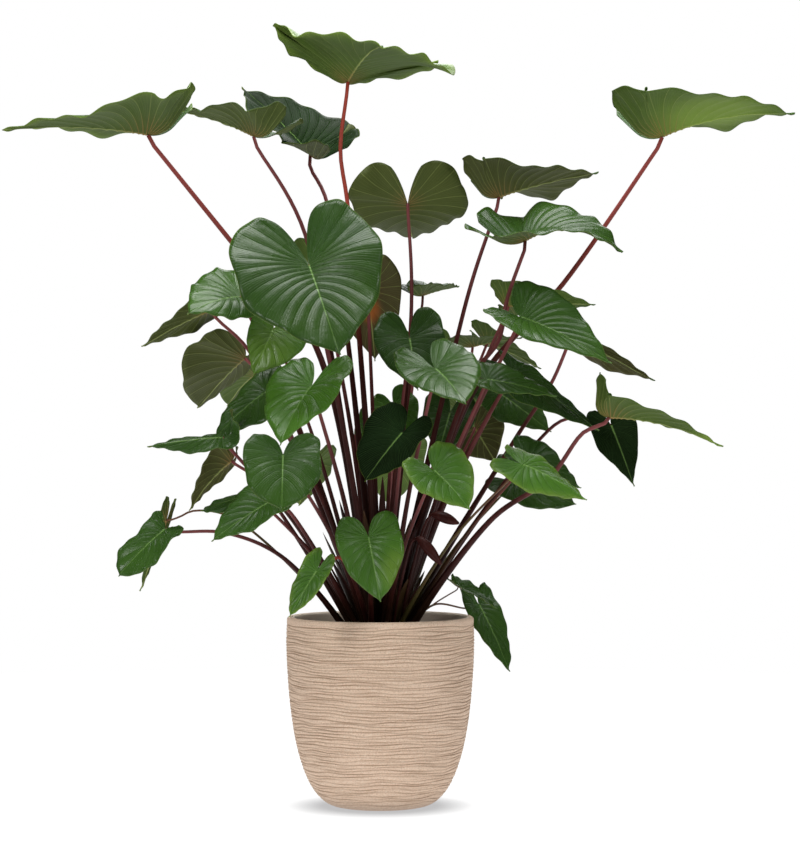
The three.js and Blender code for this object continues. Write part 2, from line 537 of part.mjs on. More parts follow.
function potRadius(z) {
  let low = 0;
  let high = 1;
  const height = (t) => bezier(SIDE_CURVE_HEIGHTS.map((h) => [0, h]), t)[1];
  for (let i = 0; i < 30; i += 1) {
    const middle = (low + high) / 2;
    if (height(middle) < z) {
      low = middle;
    } else {
      high = middle;
    }
  }
  const lean = clamp((z - SHOULDER_HEIGHT) / (POT_HEIGHT - SHOULDER_HEIGHT), 0, 1);
  const side = bezier(SIDE_CURVE_RADII.map((r) => [r, 0]), low)[0];
  return side + (POT_MOUTH_RADIUS - POT_BELLY_RADIUS) * lean;
}

function potGeometry() {
  const profile = [[0, 0], [POT_FOOT_RADIUS, 0], [potRadius(FOOT_BEVEL), FOOT_BEVEL]];
  const pitch = (RIDGES_TO - RIDGES_FROM) / RIDGE_COUNT;
  for (let i = 0; i <= RIDGE_COUNT; i += 1) {
    const z = RIDGES_FROM + i * pitch;
    profile.push([potRadius(z) - RIDGE_DEPTH, z]);
    if (i < RIDGE_COUNT) {
      profile.push([potRadius(z + pitch / 2), z + pitch / 2]);
    }
  }
  profile.push([POT_MOUTH_RADIUS, POT_HEIGHT - LIP_ROUNDING]);
  profile.push([POT_MOUTH_RADIUS - LIP_ROUNDING, POT_HEIGHT]);
  profile.push([POT_MOUTH_RADIUS - POT_WALL + LIP_ROUNDING / 2, POT_HEIGHT]);
  profile.push(...insideProfile(0).reverse());
  profile.push([0, POT_FLOOR]);
  return turned(profile);
}

// Inside of the pot from its floor to the mouth, drawn in by a gap
function insideProfile(gap) {
  const heights = [POT_FLOOR + gap, ...INSIDE_HEIGHTS, SOIL_TOP - SOIL_EDGE_DROP];
  const profile = heights.map((z) => [potRadius(z) - POT_WALL - gap - INSIDE_DRAW_IN, z]);
  if (gap === 0) {
    profile.push([POT_MOUTH_RADIUS - POT_WALL, POT_HEIGHT - LIP_ROUNDING]);
  }
  return profile;
}

function soilGeometry() {
  const hole = CROWN_RADIUS + FIT_GAP;
  const bottom = SOIL_TOP - CROWN_DEPTH - FIT_GAP;
  const outside = insideProfile(FIT_GAP);
  return turned([[0, POT_FLOOR + FIT_GAP], ...outside, [hole, SOIL_TOP], [hole, bottom], [0, bottom]]);
}

// Petioles

function crownGeometry() {
  const bottom = SOIL_TOP - CROWN_DEPTH;
  const profile = [[0, bottom], [CROWN_RADIUS, bottom], [CROWN_RADIUS, SOIL_TOP - CROWN_LIP]];
  profile.push([CROWN_RADIUS * 0.7, SOIL_TOP + CROWN_DOME * 0.7], [0, SOIL_TOP + CROWN_DOME]);
  return turned(profile);
}

// Lower blades stand on petioles from the outside of the clump, the tall ones on those from its middle
function petioleRoot(joint, number) {
  const outward = Math.atan2(joint.y, joint.x) + ROOT_SWAY * Math.sin(2.4 * number);
  const reach = Math.min(1, Math.hypot(joint.x, joint.y) / ROOT_REACH);
  const low = 1 - clamp((joint.z - LOW_JOINT) / JOINT_RANGE, 0, 1);
  const distance = (INNER_ROOT + OUTER_ROOT * low) * reach + ROOT_SCATTER * Math.sin(1.7 * number);
  return new THREE.Vector3(distance * Math.cos(outward), distance * Math.sin(outward), SOIL_TOP);
}

function petioleGeometry(blade, number) {
  const frame = bladeFrame(blade);
  const tipRadius = PETIOLE_TIP_RADIUS + PETIOLE_GROWTH * frame.length;
  const root = petioleRoot(frame.joint, number);
  const droop = tipRadius * Math.tan(radians(Math.max(0, -blade.fold[0] - blade.cup)));
  const end = frame.joint.clone().addScaledVector(frame.startUp, -(BLADE_THICKNESS / 2 + FIT_GAP + droop));
  const under = end.clone().addScaledVector(frame.startUp, -1.5 * tipRadius);
  let via = blade.stem.map(seenFromFront).reverse();
  if (via.length === 0) {
    const straight = frame.joint.clone().sub(root);
    const rise = vector([0, 0, BEND_RISE * straight.length()]);
    via = [root.clone().addScaledVector(straight, BEND_AT).add(rise)];
  }
  const arrival = under.clone().sub(via[via.length - 1]).normalize();
  const steeper = Math.max(0, STEEPEST_ARRIVAL - arrival.dot(frame.startUp));
  arrival.addScaledVector(frame.startUp, steeper).normalize();
  const neck = under.clone().addScaledVector(arrival, -NECK_LENGTH);
  const points = [root.clone().setZ(SOIL_TOP - ROOT_DEPTH), root, ...via, neck, under, end];
  const span = root.distanceTo(end);
  const segments = Math.max(6, Math.round(span / PETIOLE_STEP) + 3);
  const sheath = (s) => SHEATH_FLARE * Math.pow(1 - s, 3);
  const radiusAt = (s) => tipRadius * (1 + (PETIOLE_TAPER - 1) * (1 - s) + sheath(s));
  return stemGeometry(points, radiusAt, segments);
}

// A spathe: a thin stalk from the crown that swells into a closed capsule along its last stretch
function spatheGeometry({ root, via, base, tip }) {
  const points = [vector([...root, SOIL_TOP - ROOT_DEPTH]), ...[...via, base, tip].map(seenFromFront)];
  const capsule = points.at(-1).distanceTo(points.at(-2));
  const length = new THREE.CatmullRomCurve3(points, false, "centripetal").getLength();
  const start = 1 - capsule / length;
  const swell = (s) => Math.sin(Math.PI * clamp((s - start) / (1 - start), 0, 0.92)) ** 0.6;
  const radiusAt = (s) => STALK_RADIUS + (s > start ? (SPATHE_RADIUS - STALK_RADIUS) * swell(s) : 0);
  return stemGeometry(points, radiusAt, SPATHE_SEGMENTS);
}

function stemsGeometry() {
  let clump = solidFrom(crownGeometry());
  BLADES.forEach((blade, number) => {
    clump = clump.add(solidFrom(petioleGeometry(blade, number)));
  });
  for (const spathe of SPATHES) {
    clump = clump.add(solidFrom(spatheGeometry(spathe)));
  }
  return geometryOf(outerShell(clump));
}

// The whole plant

const POT_COLOUR = 0xd2b99a;
const SOIL_COLOUR = 0x2c2119;
const STEM_COLOUR = 0x4a1f22;
const DARK_BLADE = new THREE.Color(0x24401f);
const LIGHT_BLADE = new THREE.Color(0x5c8f35);

function named(name, geometry, colour, roughness) {
  const material = new THREE.MeshStandardMaterial({ color: colour, roughness, metalness: 0 });
  const mesh = new THREE.Mesh(geometry, material);
  mesh.name = name;
  return mesh;
}

const plant = new THREE.Group();
plant.add(named("pot", potGeometry(), POT_COLOUR, 0.85));
plant.add(named("soil", soilGeometry(), SOIL_COLOUR, 0.95));
plant.add(named("stems", stemsGeometry(), STEM_COLOUR, 0.45));
BLADES.forEach((blade, number) => {
  const colour = DARK_BLADE.clone().lerp(LIGHT_BLADE, blade.tone);
  const name = "leaf_" + String(number + 1).padStart(2, "0");
  plant.add(named(name, bladeGeometry(blade), colour, 0.4));
});

export default plant;
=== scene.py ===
import math

import bpy
import numpy as np
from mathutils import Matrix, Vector


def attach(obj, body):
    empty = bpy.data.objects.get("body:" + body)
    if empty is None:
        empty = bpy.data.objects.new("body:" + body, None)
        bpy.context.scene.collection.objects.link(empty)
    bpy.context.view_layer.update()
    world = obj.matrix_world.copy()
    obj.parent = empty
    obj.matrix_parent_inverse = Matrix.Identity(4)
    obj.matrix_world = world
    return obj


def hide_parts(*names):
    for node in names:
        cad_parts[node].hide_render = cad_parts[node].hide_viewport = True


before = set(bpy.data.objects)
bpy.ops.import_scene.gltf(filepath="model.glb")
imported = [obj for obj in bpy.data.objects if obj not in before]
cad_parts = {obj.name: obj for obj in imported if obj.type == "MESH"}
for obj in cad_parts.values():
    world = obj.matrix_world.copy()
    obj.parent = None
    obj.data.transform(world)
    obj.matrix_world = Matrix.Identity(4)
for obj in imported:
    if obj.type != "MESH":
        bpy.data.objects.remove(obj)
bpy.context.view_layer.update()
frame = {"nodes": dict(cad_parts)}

# A Homalomena rubescens in a ribbed pot, dressed around the part's solids.
# Sizes are millimetres, as in the part's own source, and turn to metres when a mesh is made.
MM = 0.001

# Pot
POT_HEIGHT = 303
POT_FOOT_RADIUS = 70
POT_LOW_RADIUS = 126
POT_BELLY_RADIUS = 151
POT_MOUTH_RADIUS = 149.5
POT_WALL = 12
POT_SIDES = 168
SHOULDER_HEIGHT = 265
SIDE_CURVE = [
    (POT_FOOT_RADIUS, 0),
    (POT_LOW_RADIUS, 8),
    (POT_BELLY_RADIUS - 3, 120),
    (POT_BELLY_RADIUS, SHOULDER_HEIGHT),
]
LIP_ROUNDING = 4
LIP_STEPS = 4
INSIDE_BOTTOM = 240
INSIDE_DRAW_IN = 3

# The pot's grooves. Their width is a share of the space between two. How they stray on their way
# round: waves, climb with the height and size of each part of it.
GROOVE_COUNT = 56
GROOVE_DEPTH = 1.9
GROOVE_WIDTH = 0.15
GROOVES_FROM = 6
GROOVES_TO = 297
RINGS_PER_GROOVE = 8
GROOVE_STRAY = [(2, 0.021, 1.3), (5, -0.034, 0.9), (9, 0.05, 0.55), (17, -0.09, 0.35)]

# Soil. Its lumps: waves to a millimetre, height, and where the waves start across and along.
SOIL_TOP = 262
SOIL_DEPTH = 20
SOIL_EDGE_DROP = 5
SOIL_SINK = 1.5
SOIL_GAP = 3.4
SOIL_RINGS = 26
SOIL_SIDES = 96
SOIL_LUMPS = [(0.05, 1.4, 1, 2), (0.13, 0.9, 4, 0.5), (0.31, 0.5, 2.2, 3.1)]
SOIL_GRAIN = 0.35

# Blades
BLADE_THICKNESS = 0.9
LOBE_END = 0.42
HUB = 0.3
WIDEST_AT = 0.06
WAVES = 2.6
LOBE_STRETCH = 0.45
CUP_REACH = 0.55
CUP_AT_RIM = 0.6
DRIP_LENGTH = 0.07
DRIP_PINCH = 0.75
SCALLOP = 0.03
SCALLOPS = 3.4
FRILL = 0.45
FRILLS = 7.3
QUILT = 1.3
UPPER_RIB = 0.5
UNDER_RIB = 1.2
RIB_WIDTH = 1.6
FULL_RELIEF_LENGTH = 180
LINES_PER_VEIN = 6
# Veins in each half blade, and points along one from the midrib to the margin
LARGE_BLADE = 160
LARGE_GRID = (16, 18)
SMALL_GRID = (11, 12)

# Petioles, their sheaths, and spathes
PETIOLE_SIDES = 12
PETIOLE_RINGS = 44
PETIOLE_TIP_RADIUS = 1.5
PETIOLE_GROWTH = 0.008
PETIOLE_TAPER = 1.75
CURVE_SAMPLES = 24
NECK_LENGTH = 20
STEEPEST_ARRIVAL = 0.35
SHEATH_FLARE = 1.1
ROOT_DEPTH = 12
ROOT_SWAY = 0.22
ROOT_SCATTER = 5
INNER_ROOT = 13
OUTER_ROOT = 33
ROOT_REACH = 250
LOW_JOINT = 420
JOINT_RANGE = 500
BEND_AT = 0.45
BEND_RISE = 0.08
SHEATHED_ABOVE = 560
SHEATH_RINGS = 18
SHEATH_SHARE = 0.36
SHEATH_SWAY = 0.07
SHEATH_BREADTH = 11
SHEATH_FLATNESS = 0.34
SHEATH_TIP_BREADTH = 0.4
INNER_SHEATHS = 34
INNER_SHEATH_FOOT = 30
INNER_SHEATH_HEIGHTS = (130, 300)
INNER_SHEATH_BREADTHS = (9, 14)
INNER_SHEATH_FLATNESS = 0.3
INNER_SHEATH_OLIVES = [0, 0, 0.25, 0.7]
GOLDEN_TURN = 2.4
STALK_RADIUS = 2.2
SPATHE_RADIUS = 8.5
SPATHE_RINGS = 72

# A blade's joint and tip are given as seen from the front: x and z in the plane of the pot's axis,
# then how far behind that plane the point lies. The eye is this far in front, at this x and height.
EYE_DISTANCE = 4700
EYE_X = 31.6
EYE_HEIGHT = 617
SPREAD_BEHIND = 1.3
PICTURE_HEIGHT = 1349
SENSOR_WIDTH = 36

# Floor and light. Each light: place, the point it faces and size, in metres, then its watts.
FLOOR_RADIUS = 2600
FLOOR_SIDES = 96
FLOOR_SINK = 0.5
FLOOR_WHITE = 0.06
SHADOW_REACH = 0.055
ROOM_LIGHT = 0.1
LIGHTS = dict(
    overhead=((-0.1, 0.1, 3.0), (0.05, 0, 0.7), (2.2, 1.6), 85),
    key=((-2.4, -3.4, 2.2), (0, 0, 0.6), (0.9, 1.2), 50),
    fill=((2.6, -3.4, 1.8), (0, 0, 0.5), (0.9, 1.2), 36),
    back=((0.5, 2.6, 2.4), (0, 0, 0.8), (2.4, 1.2), 26),
)

# Veins. Widths are millimetres, the midrib's at the joint and at the tip.
VEIN_WIDTH = 0.55
FINE_VEINS = 5
FINE_VEIN_WIDTH = 0.22
MIDRIB_WIDTHS = (1.5, 0.45)

# Each blade: its joint, its tip, the way its upper face looks, the widths of its two sides (or one
# number for both), and what isn't as in USUAL. Angles are degrees, lengths millimetres.
# back: length of the basal lobes as a share of the blade's length. full: how blunt it is. arch: bend
# of the midrib. fold: rise of the sides at the midrib and at the margin, and other_fold: the same for
# the second side, where it differs. cup: extra rise round the joint. lobe: lift of the lobes. twist:
# turn of the tip. wave: height of the margin's waves, and phase: where they start on each side.
# tone: from dark, 0, to bright, 1, and below 0 painted shade on the upper face. olive: how olive
# the underside is. sun: a pale patch of painted sunlight shining through the blade. rust: a brown
# patch. Both by place along and across, size and strength. edge: strength of a pale margin.
# stem: places that its petiole passes, from the joint down. red and green: how red and how olive the
# petiole is. thin: its thickness as a share of the usual one.
USUAL = dict(
    back=0.42, full=0.3, arch=10, fold=(12, 0), other_fold=None, cup=15, lobe=10,
    twist=0, wave=3, phase=(0.35, 0), tone=0.4, olive=0.0,
    sun=None, rust=None, edge=0.0, stem=[], red=0.0, green=0.0, thin=1.0,
)


def leaf(joint, tip, up, half, **own):
    half = half if isinstance(half, tuple) else (half, half)
    return {**USUAL, "joint": joint, "tip": tip, "up": up, "half": half, **own}


BLADES = [
    leaf((-372, 1075, -20), (-607, 1083, -40), (0, 0.18, 1), 110, back=0.46, arch=18, fold=(12, -10),
         cup=20, lobe=52, twist=11, wave=7, phase=(0.35, 0.1), tone=0.3, edge=0.3,
         stem=[(-240, 905, -10), (-103, 735, 0)], red=0.3),
    leaf((-203, 1073, 30), (-334, 1116, 86), (0.1, 0.22, 1), 74, back=0.52, arch=15, fold=(10, -6),
         cup=24, lobe=56, twist=6, wave=5, tone=0.3, olive=0.2, stem=[(-122, 920, 50)]),
    leaf((-112, 1043, 168), (-222, 1151, 218), (0.5, -0.45, 0.7), (98, 118), back=0.44, fold=(25, 10),
         other_fold=(6, 0), cup=20, lobe=55, wave=5, tone=-0.08, olive=0.2, stem=[(-85, 965, 120)]),
    leaf((-52, 1160, 0), (4, 1218, -120), (0.16, 0.22, 1), (142, 178), back=0.32, arch=40, fold=(10, -2),
         cup=28, lobe=26, wave=9, phase=(0.19, 0.3), tone=0.45, edge=0.5,
         stem=[(-64, 1050, 0), (-52, 960, -5)], red=0.8),
    leaf((44, 965, 60), (52, 911, 160), (0, 0.42, 0.9), 98, back=0.52, arch=-45, cup=5, lobe=42, wave=5,
         olive=0.4, stem=[(50, 850, 50), (48, 755, 40)]),
    leaf((190, 975, 40), (350, 1015, 20), (0, 0.28, 0.9), 90, back=0.5, arch=12, fold=(6, -8), cup=30,
         lobe=60, wave=5, tone=0.2, olive=0.4, stem=[(150, 850, 30), (125, 757, 25)]),
    leaf((232, 905, -60), (388, 886, -90), (-0.1, -0.3, 1), 90, back=0.62, arch=75, fold=(20, 0), cup=12,
         lobe=55, wave=6, tone=0.35, stem=[(203, 810, -78), (190, 745, -78), (150, 690, -62)]),
    leaf((452, 1072, 0), (665, 1109, -20), (0, 0.2, 0.9), 112, back=0.52, arch=30, fold=(14, -8), cup=28,
         lobe=60, wave=6, tone=0.5, sun=(0.4, 0, 0.4, 0.45), stem=[(300, 845, 32), (150, 665, 22)],
         red=0.35),
    leaf((-115, 868, -170), (-65, 722, -245), (0, -0.9, 0.45), (122, 113), back=0.55, full=0.46, arch=12,
         fold=(10, -8), wave=4, tone=0.3),
    leaf((-225, 815, -145), (-310, 787, -195), (-0.3, -0.6, 0.7), (76, 60), back=0.45, arch=30,
         fold=(10, 0), other_fold=(-8, -45), lobe=20, wave=4, tone=0.6, olive=0.4,
         stem=[(-206, 777, -60), (-165, 690, -50)]),
    leaf((-272, 793, -80), (-383, 735, -80), (-0.3, 0.5, 0.8), (48, 35), arch=15, fold=(10, 0), lobe=30,
         tone=0.3, olive=0.4, stem=[(-208, 725, -80)]),
    leaf((-217, 717, -25), (-293, 637, 45), (-0.36, 0.46, 0.81), (38, 96), back=0.28, full=0.5,
         fold=(5, 0), lobe=20, tone=0.2, olive=0.4, stem=[(-170, 690, -20)]),
    leaf((-171, 765, -112), (-204, 689, -120), (-0.1, -0.9, 0.3), (38, 60), back=0.2, fold=(5, -10),
         tone=1.25, sun=(0.5, 0, 0.6, 0.25)),
    leaf((-110, 673, -165), (-161, 577, -240), (-0.29, -0.58, 0.77), (67, 68), full=0.38, arch=20,
         fold=(12, -10), tone=1.1),
    leaf((-180, 665, -118), (-267, 586, -152), (-0.4, -0.7, 0.6), (38, 66), back=0.4, full=0.4, arch=20,
         fold=(10, -10), tone=0.45),
    leaf((-253, 590, -168), (-374, 575, -185), (0, -0.5, 0.8), (18, 26), back=0.45, fold=(-30, -20),
         lobe=100, twist=30, wave=4, tone=0.45, olive=0.4),
    leaf((-238, 552, -95), (-306, 472, -110), (-0.6, 0.6, 0.5), (24, 38), back=0.34, arch=30,
         fold=(15, 0), lobe=60, tone=0.2, olive=0.6, stem=[(-205, 530, -90)]),
    leaf((-156, 562, -240), (-158, 473, -280), (0, -0.9, 0.4), 60, back=0.3, full=0.85, arch=15,
         fold=(14, -8), lobe=12),
    leaf((-176, 487, -200), (-271, 423, -220), (-0.3, -0.75, 0.6), (46, 38), back=0.36, full=0.42,
         arch=15, fold=(8, -8), lobe=12, tone=0.6, olive=0.3, stem=[(-145, 470, -150)]),
    leaf((-200, 500, -150), (-288, 472, -160), (0, -0.3, 0.9), 30, full=1, fold=(-10, -10), tone=0.5),
    leaf((-345, 443, -120), (-420, 367, -140), (-0.5, -0.8, 0.2), (30, 36), back=0.08, full=1.2, arch=20,
         fold=(10, 0), lobe=20, wave=4, tone=0.55, stem=[(-250, 437, -110), (-160, 400, -90)]),
    leaf((-343, 457, -60), (-385, 343, -60), (-0.3, 0.8, 0.3), (9, 15), back=0.3, fold=(10, 0), lobe=20,
         tone=0.2, stem=[(-300, 472, -60), (-235, 460, -60)], green=0.5, thin=0.6),
    leaf((-102, 376, -180), (-146, 302, -190), (-0.2, -0.9, 0.3), (25, 22), full=0.5, arch=15,
         fold=(5, -8), lobe=15, tone=0.85, edge=0.5, stem=[(-62, 396, -120)], red=0.7),
    leaf((-19, 430, -190), (0, 326, -220), (0.05, -0.9, 0.35), 52, back=0.32, full=0.5, arch=12,
         fold=(14, -10), lobe=12, wave=2, tone=0.75, sun=(0.62, -0.7, 0.32, 0.3)),
    leaf((225, 783, -120), (371, 708, -170), (0.1, -0.65, 0.75), (72, 65), back=0.21, arch=20,
         fold=(18, 5), lobe=15, tone=0.45),
    leaf((205, 800, -18), (345, 803, -44), (0, 0.55, 0.8), 50, back=0.2, arch=15, fold=(10, 0), lobe=40,
         tone=0.5),
    leaf((308, 752, 22), (441, 681, 0), (0.5, 0.5, 0.5), (20, 46), arch=0.5, fold=(8, 0), lobe=20,
         tone=0.25, olive=0.8, stem=[(275, 678, 45), (215, 585, 22)]),
    leaf((367, 622, -100), (550, 575, -125), (0, 0.12, 1), (62, 50), back=0.44, full=0.08, arch=26,
         fold=(16, 6), cup=20, lobe=84, twist=12, wave=4, sun=(1, 0, 0.25, 0.5),
         stem=[(325, 597, -100), (270, 523, -100), (180, 460, -80)]),
    leaf((370, 610, -15), (407, 511, -45), (0.1, -0.95, 0.1), 38, back=0.25, full=0.2, arch=15,
         fold=(8, -5), tone=-0.2, stem=[(300, 620, 0), (245, 575, -5)]),
    leaf((212, 697, -20), (350, 600, -75), (0.2, -0.6, 0.7), (64, 25), back=0.2, fold=(8, -5), tone=0.25),
    leaf((170, 683, -120), (283, 655, -150), (0.1, -0.6, 0.8), 36, back=0.3, arch=15, fold=(8, -5)),
    leaf((148, 735, 90), (228, 750, 65), (0, 0.1, 1), 42, back=0.45, fold=(15, 0), lobe=20, tone=0.3,
         stem=[(125, 640, 112), (78, 450, 75)]),
    leaf((172, 742, 150), (258, 700, 140), (0, 0.4, 0.9), 38, fold=(10, 0), lobe=20),
    leaf((228, 547, -190), (331, 489, -210), (0.2, -0.6, 0.8), 44, back=0.36, full=0.4, arch=20,
         fold=(-20, -20), tone=0.95, edge=0.45, green=0.6, thin=0.65),
    leaf((236, 552, -45), (322, 508, -50), (0.25, -0.7, 0.6), 40, back=0.4, fold=(15, 5), lobe=15,
         tone=0.35, green=0.2, thin=0.75),
    leaf((212, 520, 62), (314, 482, 48), (0.1, -0.7, 0.5), 46, back=0.35, full=0.6, fold=(5, 0), tone=0.3,
         green=0.9, thin=0.6),
    leaf((86, 537, -230), (143, 474, -260), (0.05, -0.75, 0.65), 52, back=0.4, full=0.5, arch=25,
         fold=(18, -5), lobe=12, tone=0.85, edge=0.35),
    leaf((36, 598, -180), (-25, 519, -210), (-0.3, -0.8, 0.5), (58, 46), back=0.38, full=0.6, arch=12,
         fold=(8, -8), tone=-0.45),
    leaf((88, 700, -170), (137, 643, -250), (0.1, -0.8, 0.6), 62, back=0.55, full=0.5, arch=20,
         fold=(10, -8), lobe=15),
    leaf((47, 750, -40), (60, 665, -70), (0, -0.9, 0.3), 58, back=0.5, fold=(10, -5), tone=0.2),
    leaf((68, 817, 115), (127, 832, 150), (0, -0.1, 1), 42, back=0.6, fold=(28, 10), lobe=30, tone=0.35),
    leaf((-20, 830, 35), (-8, 712, 40), (0, 0.9, 0.4), 55, back=0.45, arch=0.5, fold=(5, 0), tone=0.05,
         olive=0.95, rust=(0.3, 0, 0.17, 0.9)),
    leaf((22, 640, 118), (52, 580, 105), (0, -0.8, 0.5), 38, fold=(5, 0), tone=0.8),
    leaf((-34, 615, 100), (-24, 558, 95), (0.7, -0.4, 0.3), 24, back=0.4, fold=(5, 0), tone=0.7),
    leaf((112, 630, 72), (92, 560, 50), (0, -0.8, 0.4), 45, back=0.4, fold=(5, 0), tone=0.25),
    leaf((152, 605, 135), (185, 550, 140), (0, 0.9, 0.3), 48, back=0.4, arch=5, fold=(5, 0), tone=0.1,
         olive=0.7),
    leaf((192, 660, 75), (274, 598, 58), (0.1, -0.8, 0.5), 48, fold=(8, -5), tone=0.35),
    leaf((158, 322, 115), (207, 214, 60), (0.5, -0.8, 0.3), (36, 33), back=0.25, full=0.5, arch=12,
         fold=(8, -5), lobe=15, stem=[(88, 322, 90)], green=0.5, thin=0.5),
    leaf((125, 350, 90), (187, 315, 70), (0.3, -0.3, 0.9), 20, back=0.3, full=0.4, arch=15, fold=(20, 10),
         lobe=20, stem=[(88, 324, 90)], green=0.5, thin=0.5),
    leaf((-92, 850, 190), (-120, 745, 250), (-0.2, 0.75, 0.6), 80, back=0.45, full=0.45, arch=25, lobe=20,
         wave=4),
    leaf((-200, 690, 170), (-245, 640, 230), (-0.5, 0.6, 0.6), 55, full=0.45, arch=25, lobe=20),
    leaf((135, 630, 235), (170, 560, 295), (0.2, 0.7, 0.6), 58, full=0.45, arch=25, lobe=20, tone=0.5),
    leaf((20, 560, 210), (15, 480, 280), (0, 0.75, 0.6), 60, full=0.5, arch=25, lobe=15, tone=0.5),
    leaf((-110, 545, 180), (-130, 480, 230), (-0.3, 0.7, 0.6), 48, full=0.5, arch=25, lobe=15, tone=0.6),
    leaf((60, 735, 200), (85, 660, 260), (0.2, 0.75, 0.6), 56, full=0.5, arch=25, lobe=15, tone=0.6),
]

# The two closed dark spathes low in the clump
SPATHES = [
    dict(root=(22, -22), via=[(52, 380, -55), (70, 445, -66)], base=(83, 465, -72), tip=(126, 452, -84)),
    dict(root=(14, -26), via=[(34, 360, -60)], base=(57, 428, -78), tip=(98, 386, -92)),
]


# Form of one blade

def seen_from_front(place):
    x, z, behind = place
    y = behind * SPREAD_BEHIND
    spread = (EYE_DISTANCE + y) / EYE_DISTANCE
    return np.array([EYE_X + (x - EYE_X) * spread, y, EYE_HEIGHT + (z - EYE_HEIGHT) * spread])


def unit(v):
    return v / np.linalg.norm(v)


def blade_frame(blade):
    joint = seen_from_front(blade["joint"])
    along = seen_from_front(blade["tip"]) - joint
    chord = np.linalg.norm(along)
    along = along / chord
    up = np.array(blade["up"], float)
    up = unit(up - up.dot(along) * along)
    arch = math.radians(blade["arch"])
    return dict(
        joint=joint,
        along=along,
        up=up,
        across=np.cross(along, up),
        arch=arch,
        length=chord * (arch / 2) / math.sin(arch / 2),
        start=math.cos(arch / 2) * along + math.sin(arch / 2) * up,
        start_up=math.cos(arch / 2) * up - math.sin(arch / 2) * along,
    )


def of_side(pair, side):
    """The value for one side of the blade, 1 or -1, out of a pair"""
    return pair[0 if side > 0 else 1]


def bump_of(distance, width):
    return np.exp(-(distance / width) ** 2)


def bezier(points, t):
    t = np.asarray(t, float)[..., None]
    s = 1 - t
    a, b, c, d = (np.array(p, float) for p in points)
    return s ** 3 * a + 3 * s * s * t * b + 3 * s * t * t * c + t ** 3 * d


def margin_points(blade, length, width, t, side):
    """Half outline from the end of a basal lobe, t = 0, round to the tip, t = 1"""
    back = blade["back"] * length
    widest = WIDEST_AT * length
    outer = widest - 0.42 * length
    hind = [(-0.86 * back, 0.26 * width), (-1.2 * back, 0.62 * width)]
    lobe = [*hind, (outer, 1.02 * width), (widest, width)]
    full = blade["full"]
    blunt = ((0.7 + 0.15 * full) * length, full * width)
    front = [(widest, width), (widest + 0.4 * length, width), blunt, (length, 0)]
    in_lobe = bezier(lobe, np.clip(t / LOBE_END, 0, 1))
    in_front = bezier(front, np.clip((t - LOBE_END) / (1 - LOBE_END), 0, 1))
    point = np.where((t < LOBE_END)[..., None], in_lobe, in_front)
    pinch = 1 - DRIP_PINCH * bump_of(point[..., 0] - length, DRIP_LENGTH * length)
    turn = 0.013 * (blade["joint"][0] + blade["joint"][1]) + (0.5 if side > 0 else 0)
    scallop = 1 + SCALLOP * np.sin(2 * math.pi * (SCALLOPS * t + turn))
    return np.stack([point[..., 0], point[..., 1] * pinch * scallop], -1)


def flat_points(blade, length, width, t, s, side):
    """Points on the flat half blade: t picks the vein, s runs along it from the midrib to the margin"""
    end = margin_points(blade, length, width, t, side)
    ahead = np.clip((t - HUB) / (1 - HUB), 0, 1)
    root = length * (0.6 * ahead ** 2 + 0.4 * ahead ** 12)
    basal = np.clip((HUB - t) / HUB, 0, 1)
    bend_u = (root + (end[..., 0] - root) * 0.3) * (1 - basal) + end[..., 0] * 0.62 * basal
    bend_v = end[..., 1] * (0.62 * (1 - basal) + 0.3 * basal)
    a = (1 - s) ** 2
    b = 2 * (1 - s) * s
    return a * root + b * bend_u + s * s * end[..., 0], b * bend_v + s * s * end[..., 1]


def spine(blade, frame, u):
    """Midrib ahead of the joint, and the line between the lobes behind it, with the upward direction"""
    arch = frame["arch"]
    bend = frame["length"] / arch
    angle = arch / 2 - np.maximum(u, 0) / bend
    forward = bend * (math.sin(arch / 2) - np.sin(angle))
    rise = bend * (np.cos(angle) - math.cos(arch / 2))
    ahead = frame["joint"] + forward[..., None] * frame["along"] + rise[..., None] * frame["up"]
    ahead_up = np.cos(angle)[..., None] * frame["up"] - np.sin(angle)[..., None] * frame["along"]
    lift = math.radians(blade["lobe"])
    stretch = LOBE_STRETCH * blade["back"] * frame["length"]
    bend = stretch / lift
    behind_u = np.maximum(-u, 0)
    angle = np.minimum(behind_u, stretch) / bend
    straight = np.maximum(behind_u - stretch, 0)
    backward = bend * np.sin(angle) + straight * math.cos(lift)
    rise = bend * (1 - np.cos(angle)) + straight * math.sin(lift)
    behind = frame["joint"] - backward[..., None] * frame["start"] + rise[..., None] * frame["start_up"]
    behind_up = np.cos(angle)[..., None] * frame["start_up"] + np.sin(angle)[..., None] * frame["start"]
    front = (u >= 0)[..., None]
    return np.where(front, ahead, behind), np.where(front, ahead_up, behind_up)


